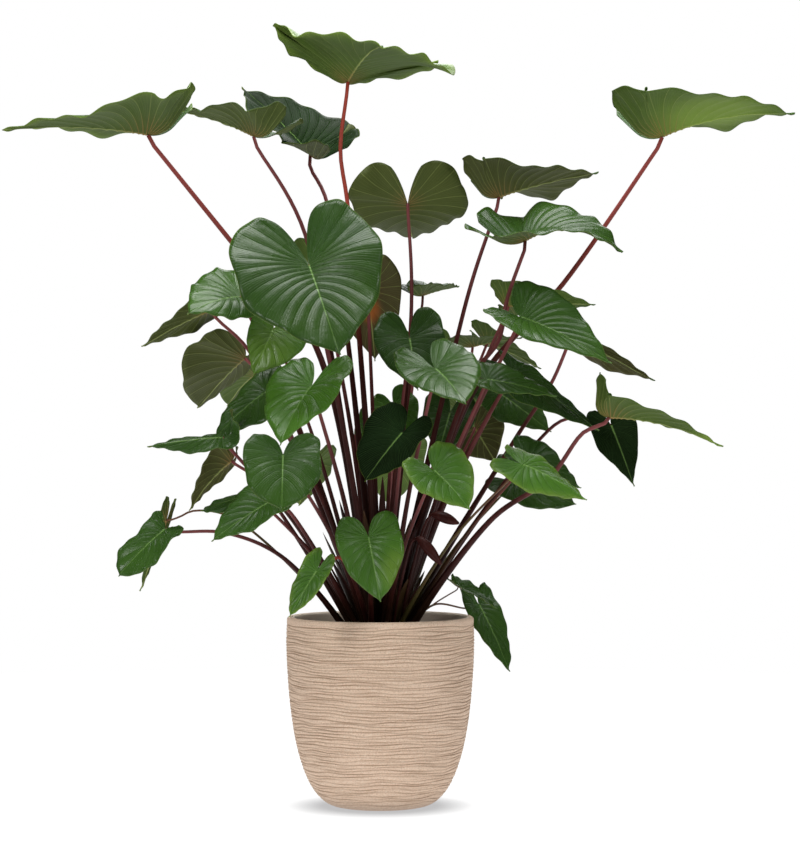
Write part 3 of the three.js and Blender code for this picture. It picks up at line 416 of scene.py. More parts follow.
def blade_points(blade, frame, t, s, side):
    """The half blade in its place: folded along the midrib, arched, cupped, twisted and waved"""
    width = of_side(blade["half"], side)
    length = frame["length"]
    u, v = flat_points(blade, length, width, t, s, side)
    point, up = spine(blade, frame, u)
    twist = math.radians(blade["twist"]) * np.clip(u / length, 0, 1)[..., None]
    outward = np.cos(twist) * frame["across"] + np.sin(twist) * up
    upward = np.cos(twist) * up - np.sin(twist) * frame["across"]
    near = np.clip(1 - u / (CUP_REACH * length), 0, 1)
    near = near * near * (3 - 2 * near)
    fold = of_side((blade["fold"], blade["other_fold"] or blade["fold"]), side)
    fold_root = np.radians(fold[0] + blade["cup"] * near)
    fold_rim = np.radians(fold[1] + CUP_AT_RIM * blade["cup"] * near)
    curl = (fold_rim - fold_root) / width
    curl = np.where(np.abs(curl) < 1e-9, 1e-9, curl)
    out = (np.sin(fold_root + curl * v) - np.sin(fold_root)) / curl
    lift = (np.cos(fold_root) - np.cos(fold_root + curl * v)) / curl
    phase = of_side(blade["phase"], side)
    reach = (np.maximum(v, 0) / width) ** 1.5
    wave = blade["wave"] * reach * np.sin(2 * math.pi * (WAVES * t + phase))
    frill = FRILL * blade["wave"] * s ** 6 * np.sin(2 * math.pi * (FRILLS * t + 2 * phase))
    return point + side * out[..., None] * outward + (lift + wave + frill)[..., None] * upward


def patch_on(patch, along, across):
    """Strength of a soft patch given by its place along and across the blade, its size and strength"""
    if patch is None:
        return np.zeros_like(along)
    apart = np.hypot(along - patch[0], 0.6 * (across - patch[1])) / patch[2]
    return patch[3] * np.exp(-apart ** 4)


# What each point of a blade carries. quilt and rib shape it, and its material reads the others.
MARKS = ("quilt", "rib", "rim", "period", "spacing", "aside", "along", "sun", "rust")


def half_blade(blade, frame, t, s, side, veins):
    """Points of one side's grid, and their marks in the order of MARKS"""
    length = frame["length"]
    width = of_side(blade["half"], side)
    grid = blade_points(blade, frame, t, s, side)
    u, v = flat_points(blade, length, width, t, s, side)
    period = t * veins
    gap = np.abs(period - np.floor(period) - 0.5)
    spacing = np.linalg.norm(np.gradient(grid, axis=0), axis=2) * LINES_PER_VEIN
    quilt = np.sin(math.pi * gap) ** 0.8 * np.clip(spacing / 8, 0, 1) * np.clip(5 * (1 - s), 0, 1)
    rib = bump_of(v, RIB_WIDTH) * np.clip(u / 4, 0, 1)
    along = np.clip(u, 0, None) / length
    # sun: painted sunlight shining through the blade, joined by a pale margin where edge is given
    sun = patch_on(blade["sun"], u / length, side * v / width)
    sun = np.maximum(sun, blade["edge"] * s ** 9)
    rust = patch_on(blade["rust"], u / length, side * v / width)
    marks = np.stack([quilt, rib, s, period, spacing, v, along, sun, rust], -1)
    return grid.reshape(-1, 3), marks.reshape(-1, len(MARKS))


def blade_sheet(blade, frame):
    """Both sides as one sheet without thickness, welded where their points meet, with its marks"""
    veins, steps = LARGE_GRID if frame["length"] > LARGE_BLADE else SMALL_GRID
    lines = veins * LINES_PER_VEIN
    t, s = np.meshgrid(np.linspace(0, 1, lines + 1), np.linspace(0, 1, steps + 1) ** 1.4, indexing="ij")
    corner = np.arange(t.size).reshape(t.shape)
    a, b = corner[:-1, :-1].ravel(), corner[:-1, 1:].ravel()
    c, d = corner[1:, 1:].ravel(), corner[1:, :-1].ravel()
    cells = halves(np.stack([a, b, c, d], 1))
    sides = [half_blade(blade, frame, t, s, side, veins) for side in (1, -1)]
    points = np.vstack([grid for grid, _ in sides])
    marks = np.vstack([marks for _, marks in sides])
    faces = np.vstack([cells, cells[:, ::-1] + corner.size])
    _, keep, where = np.unique(np.round(points, 3), axis=0, return_index=True, return_inverse=True)
    faces = where.ravel()[faces]
    a, b, c = faces.T
    faces = faces[(a != b) & (b != c) & (c != a)]
    return points[keep], faces, marks[keep]


def blade_mesh(blade, name):
    """One closed thin solid: an upper and a lower face with sunken veins, quilting and a rim"""
    frame = blade_frame(blade)
    points, faces, marks = blade_sheet(blade, frame)
    normals = vertex_normals(points, faces)
    from_joint = np.linalg.norm(points - frame["joint"], axis=1)
    if normals[int(np.argmin(from_joint))].dot(frame["start_up"]) < 0:
        faces = faces[:, ::-1]
        normals = -normals
    relief = min(1, frame["length"] / FULL_RELIEF_LENGTH)
    half = BLADE_THICKNESS / 2
    quilt = marks[:, MARKS.index("quilt")]
    rib = marks[:, MARKS.index("rib")]
    swell = relief * QUILT * (quilt - 0.5)
    upper = points + normals * (half + swell - UPPER_RIB * relief * rib)[:, None]
    under = points - normals * (half - swell + UNDER_RIB * relief * rib)[:, None]
    count = len(points)
    edge = open_edges(faces)
    rim = np.vstack([np.stack([edge[:, 1], edge[:, 0], edge[:, 0] + count], 1),
                     np.stack([edge[:, 1], edge[:, 0] + count, edge[:, 1] + count], 1)])
    triangles = np.vstack([faces, faces[:, ::-1] + count, rim])
    kinds = np.concatenate([np.zeros(len(faces)), np.ones(len(faces)), np.zeros(len(rim))]).astype(int)
    mesh = mesh_from(name, np.vstack([upper, under]), triangles, kinds)
    for mark in MARKS[2:]:
        add_mark(mesh, mark, np.tile(marks[:, MARKS.index(mark)], 2))
    add_mark(mesh, "reach", np.tile(from_joint / frame["length"], 2))
    # tone: the blade's own tone, and below 0 painted shade on its upper face
    for mark in ("tone", "olive"):
        add_mark(mesh, mark, np.full(2 * count, blade[mark]))
    return mesh


def build_blades(upper, under):
    for number, blade in enumerate(BLADES, 1):
        node = "leaf_%02d" % number
        add_piece("blade_%02d" % number, blade_mesh(blade, node), [upper, under], [node])


# Meshes

def vertex_normals(points, faces):
    p, q, r = points[faces[:, 0]], points[faces[:, 1]], points[faces[:, 2]]
    face_normals = np.cross(q - p, r - p)
    normals = np.zeros_like(points)
    for k in range(3):
        np.add.at(normals, faces[:, k], face_normals)
    return normals / np.maximum(np.linalg.norm(normals, axis=1), 1e-12)[:, None]


def open_edges(faces):
    edges = np.vstack([faces[:, [0, 1]], faces[:, [1, 2]], faces[:, [2, 0]]])
    there = {(a, b) for a, b in edges.tolist()}
    return np.array([(a, b) for a, b in edges.tolist() if (b, a) not in there])


def mesh_from(name, points, triangles, kinds=None):
    """A smooth mesh in metres. kinds holds the number of each triangle's material, if there are two"""
    count = len(triangles)
    mesh = bpy.data.meshes.new(name)
    mesh.vertices.add(len(points))
    mesh.vertices.foreach_set("co", (np.asarray(points) * MM).ravel())
    mesh.loops.add(3 * count)
    mesh.loops.foreach_set("vertex_index", np.asarray(triangles).ravel())
    mesh.polygons.add(count)
    mesh.polygons.foreach_set("loop_start", 3 * np.arange(count))
    if kinds is not None:
        mesh.polygons.foreach_set("material_index", kinds)
    mesh.update(calc_edges=True)
    mesh.validate()
    mesh.polygons.foreach_set("use_smooth", np.ones(len(mesh.polygons), bool))
    return mesh


def add_mark(mesh, name, values):
    """A number at each point, which the mesh's material reads by its name"""
    attribute = mesh.attributes.new(name, "FLOAT", "POINT")
    attribute.data.foreach_set("value", np.asarray(values, np.float32))


def add_piece(name, mesh, materials, nodes):
    piece = bpy.data.objects.new(name, mesh)
    bpy.context.scene.collection.objects.link(piece)
    for material in materials:
        mesh.materials.append(material)
    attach(piece, "root")
    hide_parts(*nodes)


def halves(quads):
    """The triangles of the quads: the first half of each, then the second half of each"""
    return np.vstack([quads[:, [0, 1, 2]], quads[:, [0, 2, 3]]])


def ring_faces(rings, sides, first=0):
    """Quads between closed rings of points, ring after ring"""
    i, j = np.meshgrid(np.arange(rings - 1), np.arange(sides), indexing="ij")
    a = first + i * sides + j
    b = first + i * sides + (j + 1) % sides
    return np.stack([a, b, b + sides, a + sides], -1).reshape(-1, 4)


def closed_rings(rings, sides):
    """Triangles over rings of points, with the two points after them as the middles of the ends"""
    middle = rings * sides
    first = np.arange(sides)
    last = middle - sides + first
    start = np.stack([np.roll(first, -1), first, np.full(sides, middle)], 1)
    end = np.stack([last, np.roll(last, -1), np.full(sides, middle + 1)], 1)
    return np.vstack([halves(ring_faces(rings, sides)), start, end])


# Materials

def srgb(text):
    """A linear colour from an sRGB hex code"""
    channels = [int(text[i:i + 2], 16) / 255 for i in (1, 3, 5)]
    return tuple(c / 12.92 if c <= 0.04045 else ((c + 0.055) / 1.055) ** 2.4 for c in channels)


class Shader:
    """A short way to write node trees: nearly every method returns an output socket"""

    def __init__(self, name):
        self.material = bpy.data.materials.new(name)
        self.material.use_nodes = True
        self.nodes = self.material.node_tree.nodes
        self.links = self.material.node_tree.links
        self.main = self.nodes["Principled BSDF"]

    def put(self, socket, value):
        """Gives an input another node's output, a colour code or a plain value"""
        if isinstance(value, bpy.types.NodeSocket):
            self.links.new(value, socket)
        elif isinstance(value, str):
            socket.default_value = (*srgb(value), 1)
        else:
            socket.default_value = value

    def mark(self, name):
        node = self.nodes.new("ShaderNodeAttribute")
        node.attribute_name = name
        return node.outputs["Fac"]

    def math(self, operation, a, b=0.0, clamp=False):
        node = self.nodes.new("ShaderNodeMath")
        node.operation = operation
        node.use_clamp = clamp
        self.put(node.inputs[0], a)
        self.put(node.inputs[1], b)
        return node.outputs[0]

    def times(self, a, b, clamp=False):
        return self.math("MULTIPLY", a, b, clamp)

    def plus(self, a, b):
        return self.math("ADD", a, b)

    def bell(self, distance):
        """1 where the distance is 0, and less on both sides of it"""
        return self.math("POWER", math.e, self.times(self.times(distance, distance), -1.0))

    def mix(self, factor, a, b):
        node = self.nodes.new("ShaderNodeMix")
        node.data_type = "RGBA"
        self.put(node.inputs["Factor"], factor)
        self.put(node.inputs["A"], a)
        self.put(node.inputs["B"], b)
        return node.outputs["Result"]

    def layers(self, base, *layers):
        """The base with layers over it, each given by its share and its colour code"""
        for share, code in layers:
            base = self.mix(share, base, code)
        return base

    def noise(self, scale, detail, roughness=0.5, stretch=(1, 1, 1)):
        place = self.nodes.new("ShaderNodeTexCoord")
        mapping = self.nodes.new("ShaderNodeMapping")
        mapping.inputs["Scale"].default_value = stretch
        self.links.new(place.outputs["Object"], mapping.inputs["Vector"])
        node = self.nodes.new("ShaderNodeTexNoise")
        node.inputs["Scale"].default_value = scale
        node.inputs["Detail"].default_value = detail
        node.inputs["Roughness"].default_value = roughness
        self.links.new(mapping.outputs[0], node.inputs["Vector"])
        return node.outputs["Fac"]

    def span(self, value, low, high, to_low=0.0, to_high=1.0):
        node = self.nodes.new("ShaderNodeMapRange")
        self.put(node.inputs["Value"], value)
        for key, number in (("From Min", low), ("From Max", high), ("To Min", to_low), ("To Max", to_high)):
            node.inputs[key].default_value = number
        return node.outputs[0]

    def bump(self, height, strength, distance):
        node = self.nodes.new("ShaderNodeBump")
        node.inputs["Strength"].default_value = strength
        node.inputs["Distance"].default_value = distance
        self.links.new(height, node.inputs["Height"])
        self.links.new(node.outputs[0], self.main.inputs["Normal"])

    def finish(self, colour, roughness, **plain):
        """The finished material. Names and values in plain go to the inputs of the same names"""
        self.put(self.main.inputs["Base Color"], colour)
        self.put(self.main.inputs["Roughness"], roughness)
        for key, value in plain.items():
            self.main.inputs[key.replace("_", " ")].default_value = value
        return self.material


def line_at(look, spread, turns, width):
    """1 on the thin parallel veins, turns of them for each main one, width in millimetres"""
    period = look.times(look.mark("period"), turns)
    gap = look.math("ABSOLUTE", look.math("SUBTRACT", look.math("FRACT", period), 0.5))
    return look.bell(look.math("DIVIDE", look.times(gap, spread), turns * width))


def vein_marks(look):
    """The main veins, the finer ones between them and the midrib, each 0 to 1"""
    spread = look.mark("spacing")
    main = look.times(line_at(look, spread, 1, VEIN_WIDTH), look.span(spread, 0.5, 2.5))
    fine = look.times(line_at(look, spread, FINE_VEINS, FINE_VEIN_WIDTH), look.span(spread, 2.0, 7.0))
    along = look.mark("along")
    width = look.span(along, 0.0, 1.0, *MIDRIB_WIDTHS)
    rib = look.bell(look.math("DIVIDE", look.mark("aside"), width))
    return main, fine, look.times(rib, look.span(along, 0.0, 0.02))


# The sun mark is painted sunlight shining through the blade, with the pale margin; the rust mark is a brown
# patch
def patches(look):
    return (look.mark("sun"), "#97b54c"), (look.mark("rust"), "#b4672e")


def upper_material():
    look = Shader("blade_upper")
    tone = look.mark("tone")
    main, fine, rib = vein_marks(look)
    # Tones below 0 are painted shade: the upper face darkens towards near black, for blades that lie in
    # shade inside the clump
    shaded = look.span(tone, -0.6, 0.0, 1, 0)
    base = look.layers(
        look.mix(look.span(tone, 0, 1), "#182610", "#508024"),
        (shaded, "#0b1207"),
        (look.span(look.noise(12, 3), 0.35, 0.7, 0, 0.35), "#274124"),
        (look.times(fine, 0.22), "#6b9a54"),
        (look.times(main, look.span(tone, 0.0, 0.8, 0.06, 0.34)), "#6f9c55"),
        (look.times(rib, look.span(look.mark("along"), 0.0, 0.8, 0.85, 0.25)), "#93bd68"),
        (look.times(look.span(look.mark("rim"), 0.982, 1.0), 0.4), "#7c9440"),
        *patches(look),
    )
    height = look.plus(look.times(fine, -0.6), look.times(main, -1.0))
    height = look.plus(height, look.times(look.noise(220, 3), 0.4))
    look.bump(height, 0.8, 0.001)
    rough = look.plus(look.span(look.noise(30, 2), 0.3, 0.7, 0.22, 0.34), look.times(shaded, 0.5))
    look.put(look.main.inputs["Specular IOR Level"], look.span(tone, -0.1, 0.3, 0.02, 0.3))
    return look.finish(base, rough)


def under_material():
    look = Shader("blade_under")
    main, fine, rib = vein_marks(look)
    near_joint = look.span(look.mark("reach"), 0.0, 0.25, 1.0, 0.0)
    red = look.times(near_joint, look.plus(look.math("MAXIMUM", main, rib), 0.1), clamp=True)
    base = look.layers(
        look.mix(look.mark("tone"), "#3f4c24", "#5f802d"),
        (look.mark("olive"), "#554a2c"),
        (look.span(look.noise(16, 3), 0.35, 0.7, 0, 0.35), "#44502a"),
        (look.times(fine, 0.22), "#8d9656"),
        (look.times(main, 0.42), "#97a35c"),
        (look.times(rib, 0.85), "#a4b068"),
        *patches(look),
        (look.times(red, 0.55), "#a8523a"),
    )
    height = look.plus(look.times(fine, 0.5), look.times(main, 1.0))
    height = look.plus(height, look.times(look.noise(220, 3), 0.5))
    look.bump(height, 0.5, 0.0005)
    return look.finish(base, 0.55, Specular_IOR_Level=0.14)


def stem_material():
    look = Shader("stem_maroon")
    up = look.mark("up")
    streak = look.span(look.noise(90, 3, 0.6, (1, 1, 0.06)), 0.4, 0.75, 0, 0.3)
    base = look.layers(
        look.mix(look.span(up, 0.05, 0.6), "#190806", "#3c1410"),
        (look.span(up, 0.6, 1.0), "#8a4a4b"),
        (look.times(look.mark("tone"), look.span(up, 0.5, 0.8), clamp=True), "#bc4a37"),
        (look.times(look.span(up, 0.0, 0.3, 0.7, 0.0), look.noise(30, 2)), "#3f3719"),
        (look.mark("olive"), "#56522a"),
        (look.times(streak, look.span(up, 0.2, 0.8, 0.1, 1)), "#8a4a44"),
    )
    look.bump(look.noise(300, 2, 0.5, (1, 1, 0.08)), 0.15, 0.0003)
    return look.finish(base, 0.45, Specular_IOR_Level=0.16)


def pot_material():
    look = Shader("pot_stone")
    speckle = look.span(look.noise(430, 4, 0.75), 0.5, 0.68)
    light = look.span(look.noise(370, 4, 0.75, (1, 1, 1.3)), 0.52, 0.7)
    base = look.layers(
        look.mix(look.noise(9, 3), "#f3d6be", "#eaccb3"),
        (look.times(speckle, 0.6), "#b08e6e"),
        (look.times(light, 0.6), "#fff3e2"),
        # The grooves are painted darker by their depth: painted shade in them
        (look.times(look.mark("groove"), 0.8), "#97775a"),
        # The inside of the pot is painted lighter: painted light on the wall that lies in the plant's shade
        (look.times(look.mark("inner"), 0.7), "#fff2e2"),
    )
    look.bump(look.noise(520, 4, 0.75), 0.9, 0.0014)
    return look.finish(base, 0.85, Specular_IOR_Level=0.25)


def soil_material():
    look = Shader("potting_soil")
    base = look.mix(look.noise(120, 4, 0.6), "#1c130d", "#4a3626")
    look.bump(look.noise(250, 5, 0.7), 0.9, 0.002)
    return look.finish(base, 0.95, Specular_IOR_Level=0.2)


# Pot

def pot_radius(z):
    """Outer radius at a height: a rounded foot that runs up into a nearly straight wall"""
    curve = bezier(SIDE_CURVE, np.linspace(0, 1, 400))
    radius = np.interp(z, curve[:, 1], curve[:, 0])
    lean = np.clip((z - SHOULDER_HEIGHT) / (POT_HEIGHT - SHOULDER_HEIGHT), 0, 1)
    return radius + (POT_MOUTH_RADIUS - POT_BELLY_RADIUS) * lean


def wander(angle, height):
    """How far the grooves stray up and down on their way round, in millimetres"""
    stray = 0
    for k, (waves, climb, size) in enumerate(GROOVE_STRAY):
        stray = stray + size * np.sin(waves * angle + climb * height + 1.7 * k)
    return stray


def grooves(phase, angle):
    """Depth of the hand-drawn grooves, 0 to 1. Lines stand at whole phases and, fainter and broken,
    halfway between them. Each sways, fades and thickens in its own way, so that some meet"""
    rng = np.random.default_rng(7)
    count = 2 * GROOVE_COUNT + 6
    turns = rng.integers(2, 8, (count, 3))
    start = rng.uniform(0, 2 * math.pi, (count, 3))
    deepest = np.zeros_like(phase)
    nearest = np.round(2 * phase).astype(int)
    for step in (-2, -1, 0, 1, 2):
        line = np.clip(nearest + step, 0, count - 1)
        waves = [np.sin(turns[line, k] * angle + start[line, k]) for k in range(3)]
        sway = 0.2 * waves[0] + 0.12 * waves[1]
        whole = 0.66 + 0.34 * waves[2] * waves[1]
        faint = 0.42 * np.clip(waves[2] + 0.2 * waves[0], 0, 1)
        strength = np.where(line % 2 == 0, whole, faint)
        apart = (phase - line / 2 - sway) / GROOVE_WIDTH
        deepest = np.maximum(deepest, strength * np.exp(-apart ** 2))
    return deepest


def lip_profile():
    """Radius and height of the rings over the rounded lip and down the inside"""
    inner = POT_MOUTH_RADIUS - POT_WALL
    quarter = np.linspace(0, math.pi / 2, LIP_STEPS + 1)[1:]
    less = [(LIP_ROUNDING * (1 - math.cos(b)), LIP_ROUNDING * (1 - math.sin(b))) for b in quarter]
    profile = [(POT_MOUTH_RADIUS - by_cos, POT_HEIGHT - by_sin) for by_cos, by_sin in less]
    profile += [(inner + by_sin, POT_HEIGHT - by_cos) for by_cos, by_sin in less]
    profile += [(inner, POT_HEIGHT - 15), (inner - 0.5, POT_HEIGHT - 30)]
    return profile + [(pot_radius(INSIDE_BOTTOM) - POT_WALL - INSIDE_DRAW_IN, INSIDE_BOTTOM)]


def build_pot(material):
    angle = np.linspace(0, 2 * math.pi, POT_SIDES, endpoint=False)
    pitch = (GROOVES_TO - GROOVES_FROM) / GROOVE_COUNT
    plain = np.linspace(0, GROOVES_FROM - 1, 4)
    grooved = np.arange(GROOVES_FROM, GROOVES_TO, pitch / RINGS_PER_GROOVE)
    heights = np.concatenate([plain, grooved, [GROOVES_TO, POT_HEIGHT - LIP_ROUNDING]])
    z, a = np.meshgrid(heights, angle, indexing="ij")
    phase = np.clip((z - GROOVES_FROM + wander(a, z)) / pitch, 0, GROOVE_COUNT) + 1
    inside = np.clip((z - GROOVES_FROM) / 5, 0, 1) * np.clip((GROOVES_TO - z) / 3, 0, 1)
    groove = grooves(phase, a) * inside
    radius = pot_radius(z) - GROOVE_DEPTH * groove
    rings = [np.stack([radius * np.cos(a), radius * np.sin(a), z], -1).reshape(-1, 3)]
    for r, level in lip_profile():
        rings.append(np.stack([r * np.cos(angle), r * np.sin(angle), np.full(POT_SIDES, level)], -1))
    count = sum(len(ring) for ring in rings) // POT_SIDES
    points = np.vstack([*rings, [[0, 0, 0], [0, 0, INSIDE_BOTTOM]]])
    mesh = mesh_from("pot", points, closed_rings(count, POT_SIDES))
    depth = np.zeros(len(points))
    depth[:groove.size] = groove.ravel()
    add_mark(mesh, "groove", depth)
    # inner marks the inside of the pot, which its material paints lighter as painted light
    add_mark(mesh, "inner", np.arange(len(points)) // POT_SIDES >= len(heights) + LIP_STEPS)
    add_piece("pot_shell", mesh, [material], ["pot"])


def build_soil(material):
    radius = np.linspace(1, pot_radius(SOIL_TOP) - POT_WALL - SOIL_GAP, SOIL_RINGS)
    angle = np.linspace(0, 2 * math.pi, SOIL_SIDES, endpoint=False)
    r, a = np.meshgrid(radius, angle, indexing="ij")
    rng = np.random.default_rng(11)
    lumps = sum(
        size * np.sin(k * r * np.cos(a) + p) * np.sin(k * r * np.sin(a) + q)
        for k, size, p, q in SOIL_LUMPS
    ) + rng.normal(0, SOIL_GRAIN, r.shape)
    z = SOIL_TOP - SOIL_SINK - SOIL_EDGE_DROP * (r / radius[-1]) ** 2 + lumps
    top = np.stack([r * np.cos(a), r * np.sin(a), z], -1)
    skirt = top[-1:].copy()
    skirt[..., 2] = SOIL_TOP - SOIL_DEPTH
    middles = [[0, 0, SOIL_TOP], [0, 0, SOIL_TOP - SOIL_DEPTH]]
    points = np.vstack([np.vstack([top, skirt]).reshape(-1, 3), middles])
    triangles = closed_rings(SOIL_RINGS + 1, SOIL_SIDES)[:, ::-1]
    add_piece("potting_soil", mesh_from("soil", points, triangles), [material], ["soil"])


# Stems

def gone_along(points):
    """Length of the way to each point"""
    return np.concatenate([[0], np.cumsum(np.linalg.norm(np.diff(points, axis=0), axis=1))])


def at_places(places, gone, points):
    """The points at the given places of a way, where gone holds the place of each point"""
    return np.stack([np.interp(places, gone, points[:, k]) for k in range(3)], 1)


def smooth_curve(points, count):
    """Centripetal Catmull-Rom curve through the points, sampled at even lengths"""
    p = np.vstack([2 * points[0] - points[1], points, 2 * points[-1] - points[-2]])
    knot = np.maximum(np.linalg.norm(np.diff(p, axis=0), axis=1), 1e-6) ** 0.5
    fine = []
    for i in range(1, len(p) - 2):
        p0, p1, p2, p3 = p[i - 1:i + 3]
        t1 = knot[i - 1]
        t2 = t1 + knot[i]
        t3 = t2 + knot[i + 1]
        t = np.linspace(t1, t2, CURVE_SAMPLES, endpoint=False)[:, None]
        a1 = (t1 - t) / t1 * p0 + t / t1 * p1
        a2 = (t2 - t) / (t2 - t1) * p1 + (t - t1) / (t2 - t1) * p2
        a3 = (t3 - t) / (t3 - t2) * p2 + (t - t2) / (t3 - t2) * p3
        b1 = (t2 - t) / t2 * a1 + t / t2 * a2
        b2 = (t3 - t) / (t3 - t1) * a2 + (t - t1) / (t3 - t1) * a3
        fine.append((t2 - t) / (t2 - t1) * b1 + (t - t1) / (t2 - t1) * b2)
    fine = np.vstack(fine + [points[-1:]])
    gone = gone_along(fine)
    return at_places(np.linspace(0, gone[-1], count), gone, fine)


def tube_rings(points, radii, first, flat):
    """Rings of a stem along points, with a normal carried along so that it doesn't twist. first is a
    direction square to the stem's broad way, flat the share of its breadth that is its thickness"""
    tangent = np.gradient(points, axis=0)
    tangent /= np.linalg.norm(tangent, axis=1)[:, None]
    normal = unit(np.cross(tangent[0], first))
    angle = np.linspace(0, 2 * math.pi, PETIOLE_SIDES, endpoint=False)
    rings = []
    for point, direction, radius in zip(points, tangent, radii):
        normal = unit(normal - normal.dot(direction) * direction)
        other = flat * np.cross(direction, normal)
        rings.append(point + radius * (np.cos(angle)[:, None] * normal + np.sin(angle)[:, None] * other))
    return np.vstack(rings)


def petiole_root(joint, number):
    outward = math.atan2(joint[1], joint[0]) + ROOT_SWAY * math.sin(2.4 * number)
    reach = min(1, math.hypot(joint[0], joint[1]) / ROOT_REACH)
    low = 1 - min(1, max(0, (joint[2] - LOW_JOINT) / JOINT_RANGE))
    distance = (INNER_ROOT + OUTER_ROOT * low) * reach + ROOT_SCATTER * math.sin(1.7 * number)
    return np.array([distance * math.cos(outward), distance * math.sin(outward), SOIL_TOP])


def petiole_route(blade, number):
    """The petiole's way from below the soil to its blade, and its radius at the blade"""
    frame = blade_frame(blade)
    tip_radius = PETIOLE_TIP_RADIUS + PETIOLE_GROWTH * frame["length"]
    root = petiole_root(frame["joint"], number)
    via = [seen_from_front(place) for place in reversed(blade["stem"])]
    if not via:
        straight = frame["joint"] - root
        via = [root + BEND_AT * straight + np.array([0, 0, BEND_RISE * np.linalg.norm(straight)])]
    end = frame["joint"] - 0.5 * frame["start_up"]
    under = end - 1.5 * tip_radius * frame["start_up"]
    toward = unit(under - via[-1])
    steeper = max(0, STEEPEST_ARRIVAL - toward.dot(frame["start_up"]))
    neck = under - NECK_LENGTH * unit(toward + steeper * frame["start_up"])
    below = root - np.array([0, 0, ROOT_DEPTH])
    return smooth_curve(np.array([below, root, *via, neck, under, end]), PETIOLE_RINGS), tip_radius


def spathe_route(spathe):
    """The way of a spathe's stalk and of the spathe on it, with the radii"""
    places = [*spathe["via"], spathe["base"], spathe["tip"]]
    below = (*spathe["root"], SOIL_TOP - ROOT_DEPTH)
    points = np.array([below, *[seen_from_front(place) for place in places]])
    route = smooth_curve(points, SPATHE_RINGS)
    gone = gone_along(route)
    start = 1 - np.linalg.norm(points[-1] - points[-2]) / gone[-1]
    s = gone / gone[-1]
    inside = np.clip((s - start) / (1 - start), 0, 1)
    swell = np.sin(math.pi * np.minimum(inside, 0.97)) ** 0.6
    radii = STALK_RADIUS * (1 - inside) + (SPATHE_RADIUS - STALK_RADIUS * 0.4) * swell
    return route, np.where(s > start, radii, STALK_RADIUS)


def tube(route, radii, **own):
    """A tube of the stems, with what it carries. low and high: how high up its petiole it starts and
    ends, each 0 to 1"""
    plain = dict(tone=0.0, olive=0.0, low=0.0, high=1.0, first=(0.31, 0.9, 0.2), flat=1.0)
    return {**plain, "route": route, "radii": radii, **own}


def inner_sheaths():
    """The short pointed sheaths that fill the middle of the clump above the crown"""
    rng = np.random.default_rng(23)
    s = np.linspace(0, 1, SHEATH_RINGS)
    narrowing = (1 - s ** 2.2) ** 0.8
    for number in range(INNER_SHEATHS):
        turn = GOLDEN_TURN * number
        share = (number + 0.5) / INNER_SHEATHS
        outward = np.array([math.cos(turn), math.sin(turn), 0])
        height = rng.uniform(*INNER_SHEATH_HEIGHTS) * (1 - 0.45 * share)
        lean = (0.12 + 0.3 * share) * height + 12 * share
        start = outward * (INNER_SHEATH_FOOT * math.sqrt(share))
        points = [
            start + [0, 0, SOIL_TOP - ROOT_DEPTH],
            start + [0, 0, SOIL_TOP + 8],
            start + outward * 0.4 * lean + [0, 0, SOIL_TOP + 0.5 * height],
            start + outward * lean + [0, 0, SOIL_TOP + height],
        ]
        route = smooth_curve(np.array(points), SHEATH_RINGS)
        breadth = rng.uniform(*INNER_SHEATH_BREADTHS) * (0.75 + 0.5 * s) * narrowing + SHEATH_TIP_BREADTH
        olive = float(rng.choice(INNER_SHEATH_OLIVES))
        yield tube(route, breadth, olive=olive, high=0.4, first=outward, flat=INNER_SHEATH_FLATNESS)


def petiole_sheath(route, number):
    """The flat sheath that wraps the lower part of a petiole"""
    share = SHEATH_SHARE + SHEATH_SWAY * math.sin(3.1 * number)
    reach = np.linspace(0, share, SHEATH_RINGS)
    way = at_places(reach, np.linspace(0, 1, len(route)), route)
    breadth = SHEATH_BREADTH * (1 - (reach / share) ** 1.6) ** 0.7 + SHEATH_TIP_BREADTH
    outward = unit(np.array([way[-1, 0], way[-1, 1], 0]))
    olive = 0.5 * (number % 4 == 2)
    return tube(way, breadth, olive=olive, high=share, first=outward, flat=SHEATH_FLATNESS)


def stem_tubes():
    for number, blade in enumerate(BLADES):
        route, tip_radius = petiole_route(blade, number)
        s = np.linspace(0, 1, len(route))
        radii = tip_radius * (1 + (PETIOLE_TAPER - 1) * (1 - s) + SHEATH_FLARE * (1 - s) ** 3)
        yield tube(route, radii * blade["thin"], tone=blade["red"], olive=blade["green"])
        if blade["joint"][1] > SHEATHED_ABOVE:
            yield petiole_sheath(route, number)
    yield from inner_sheaths()
    for spathe in SPATHES:
        yield tube(*spathe_route(spathe), low=0.25, high=0.5)


def build_stems(material):
    lid = np.array([(0, j, j + 1) for j in range(1, PETIOLE_SIDES - 1)])
    points, quads, lids, tones, olives, ups = [], [], [], [], [], []
    count = 0
    for part in stem_tubes():
        rings = len(part["route"])
        size = rings * PETIOLE_SIDES
        points.append(tube_rings(part["route"], part["radii"], part["first"], part["flat"]))
        quads.append(ring_faces(rings, PETIOLE_SIDES, count))
        lids += [count + lid[:, ::-1], count + size - PETIOLE_SIDES + lid]
        tones.append(np.full(size, part["tone"]))
        olives.append(np.full(size, part["olive"]))
        ups.append(np.repeat(np.linspace(part["low"], part["high"], rings), PETIOLE_SIDES))
        count += size
    mesh = mesh_from("stems", np.vstack(points), np.vstack([halves(np.vstack(quads)), *lids]))
    add_mark(mesh, "tone", np.concatenate(tones))
    add_mark(mesh, "olive", np.concatenate(olives))
    add_mark(mesh, "up", np.concatenate(ups))
    add_piece("petioles_and_spathes", mesh, [material], ["stems"])


# Light, floor and camera

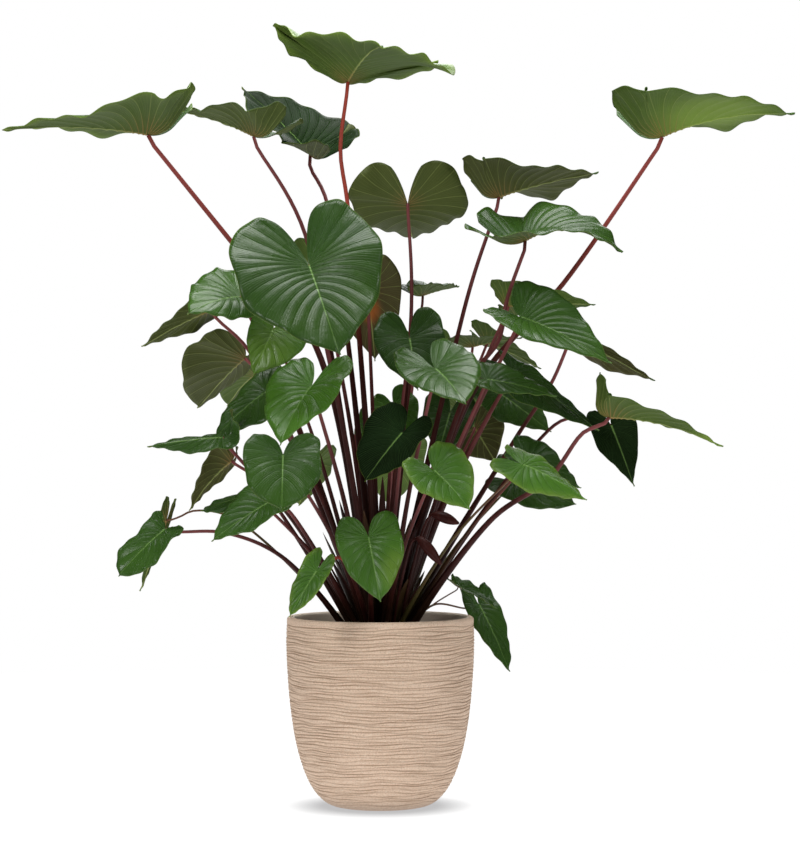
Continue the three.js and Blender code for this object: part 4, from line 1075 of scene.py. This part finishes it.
def area_light(name, place, aim, size, power):
    light = bpy.data.lights.new(name, "AREA")
    light.shape = "RECTANGLE"
    light.size, light.size_y = size
    light.energy = power
    lamp = bpy.data.objects.new(name, light)
    bpy.context.scene.collection.objects.link(lamp)
    lamp.location = place
    lamp.rotation_euler = Vector(np.subtract(aim, place)).to_track_quat("-Z", "Y").to_euler()


def build_room():
    """A dim room as light, which the camera sees as white paper"""
    world = bpy.data.worlds.new("studio")
    world.use_nodes = True
    nodes, links = world.node_tree.nodes, world.node_tree.links
    room = nodes["Background"]
    room.inputs["Color"].default_value = (0.95, 0.98, 1.0, 1)
    room.inputs["Strength"].default_value = ROOM_LIGHT
    paper = nodes.new("ShaderNodeBackground")
    paper.inputs["Color"].default_value = (1, 1, 1, 1)
    chosen = nodes.new("ShaderNodeMixShader")
    links.new(nodes.new("ShaderNodeLightPath").outputs["Is Camera Ray"], chosen.inputs[0])
    links.new(room.outputs[0], chosen.inputs[1])
    links.new(paper.outputs[0], chosen.inputs[2])
    links.new(chosen.outputs[0], nodes["World Output"].inputs["Surface"])
    bpy.context.scene.world = world


def floor_material():
    """White and glowing, with a painted soft grey shadow only where the pot stands close to it"""
    look = Shader("floor_white")
    near = look.nodes.new("ShaderNodeAmbientOcclusion")
    near.inputs["Distance"].default_value = SHADOW_REACH
    # Ambient occlusion dims the glow near the pot: a painted shadow
    open_sky = look.span(near.outputs["AO"], 0.3, 0.97)
    look.put(look.main.inputs["Emission Color"], look.mix(open_sky, "#bcbcbd", "#ffffff"))
    look.main.inputs["Emission Strength"].default_value = 1
    return look.finish((FLOOR_WHITE, FLOOR_WHITE, FLOOR_WHITE, 1), 0.9, Specular_IOR_Level=0.1)


def build_stage():
    build_room()
    turn = np.linspace(0, 2 * math.pi, FLOOR_SIDES, endpoint=False)
    level = np.full(FLOOR_SIDES, -FLOOR_SINK)
    disc = np.stack([FLOOR_RADIUS * np.cos(turn), FLOOR_RADIUS * np.sin(turn), level], 1)
    fan = [(0, i, i + 1) for i in range(1, FLOOR_SIDES - 1)]
    floor = bpy.data.objects.new("floor", mesh_from("floor", disc, fan))
    bpy.context.scene.collection.objects.link(floor)
    floor.data.materials.append(floor_material())
    for name, light in LIGHTS.items():
        area_light(name, *light)


def build_camera():
    camera = bpy.data.cameras.new("camera")
    camera.sensor_width = SENSOR_WIDTH
    camera.lens = SENSOR_WIDTH * EYE_DISTANCE / PICTURE_HEIGHT
    eye = bpy.data.objects.new("camera", camera)
    eye.location = (EYE_X * MM, -EYE_DISTANCE * MM, EYE_HEIGHT * MM)
    eye.rotation_euler = (math.pi / 2, 0, 0)
    bpy.context.scene.collection.objects.link(eye)
    bpy.context.scene.camera = eye


build_camera()
build_stage()
build_pot(pot_material())
build_soil(soil_material())
build_stems(stem_material())
build_blades(upper_material(), under_material())

bpy.context.scene.view_settings.view_transform = "Standard"
bpy.context.view_layer.update()
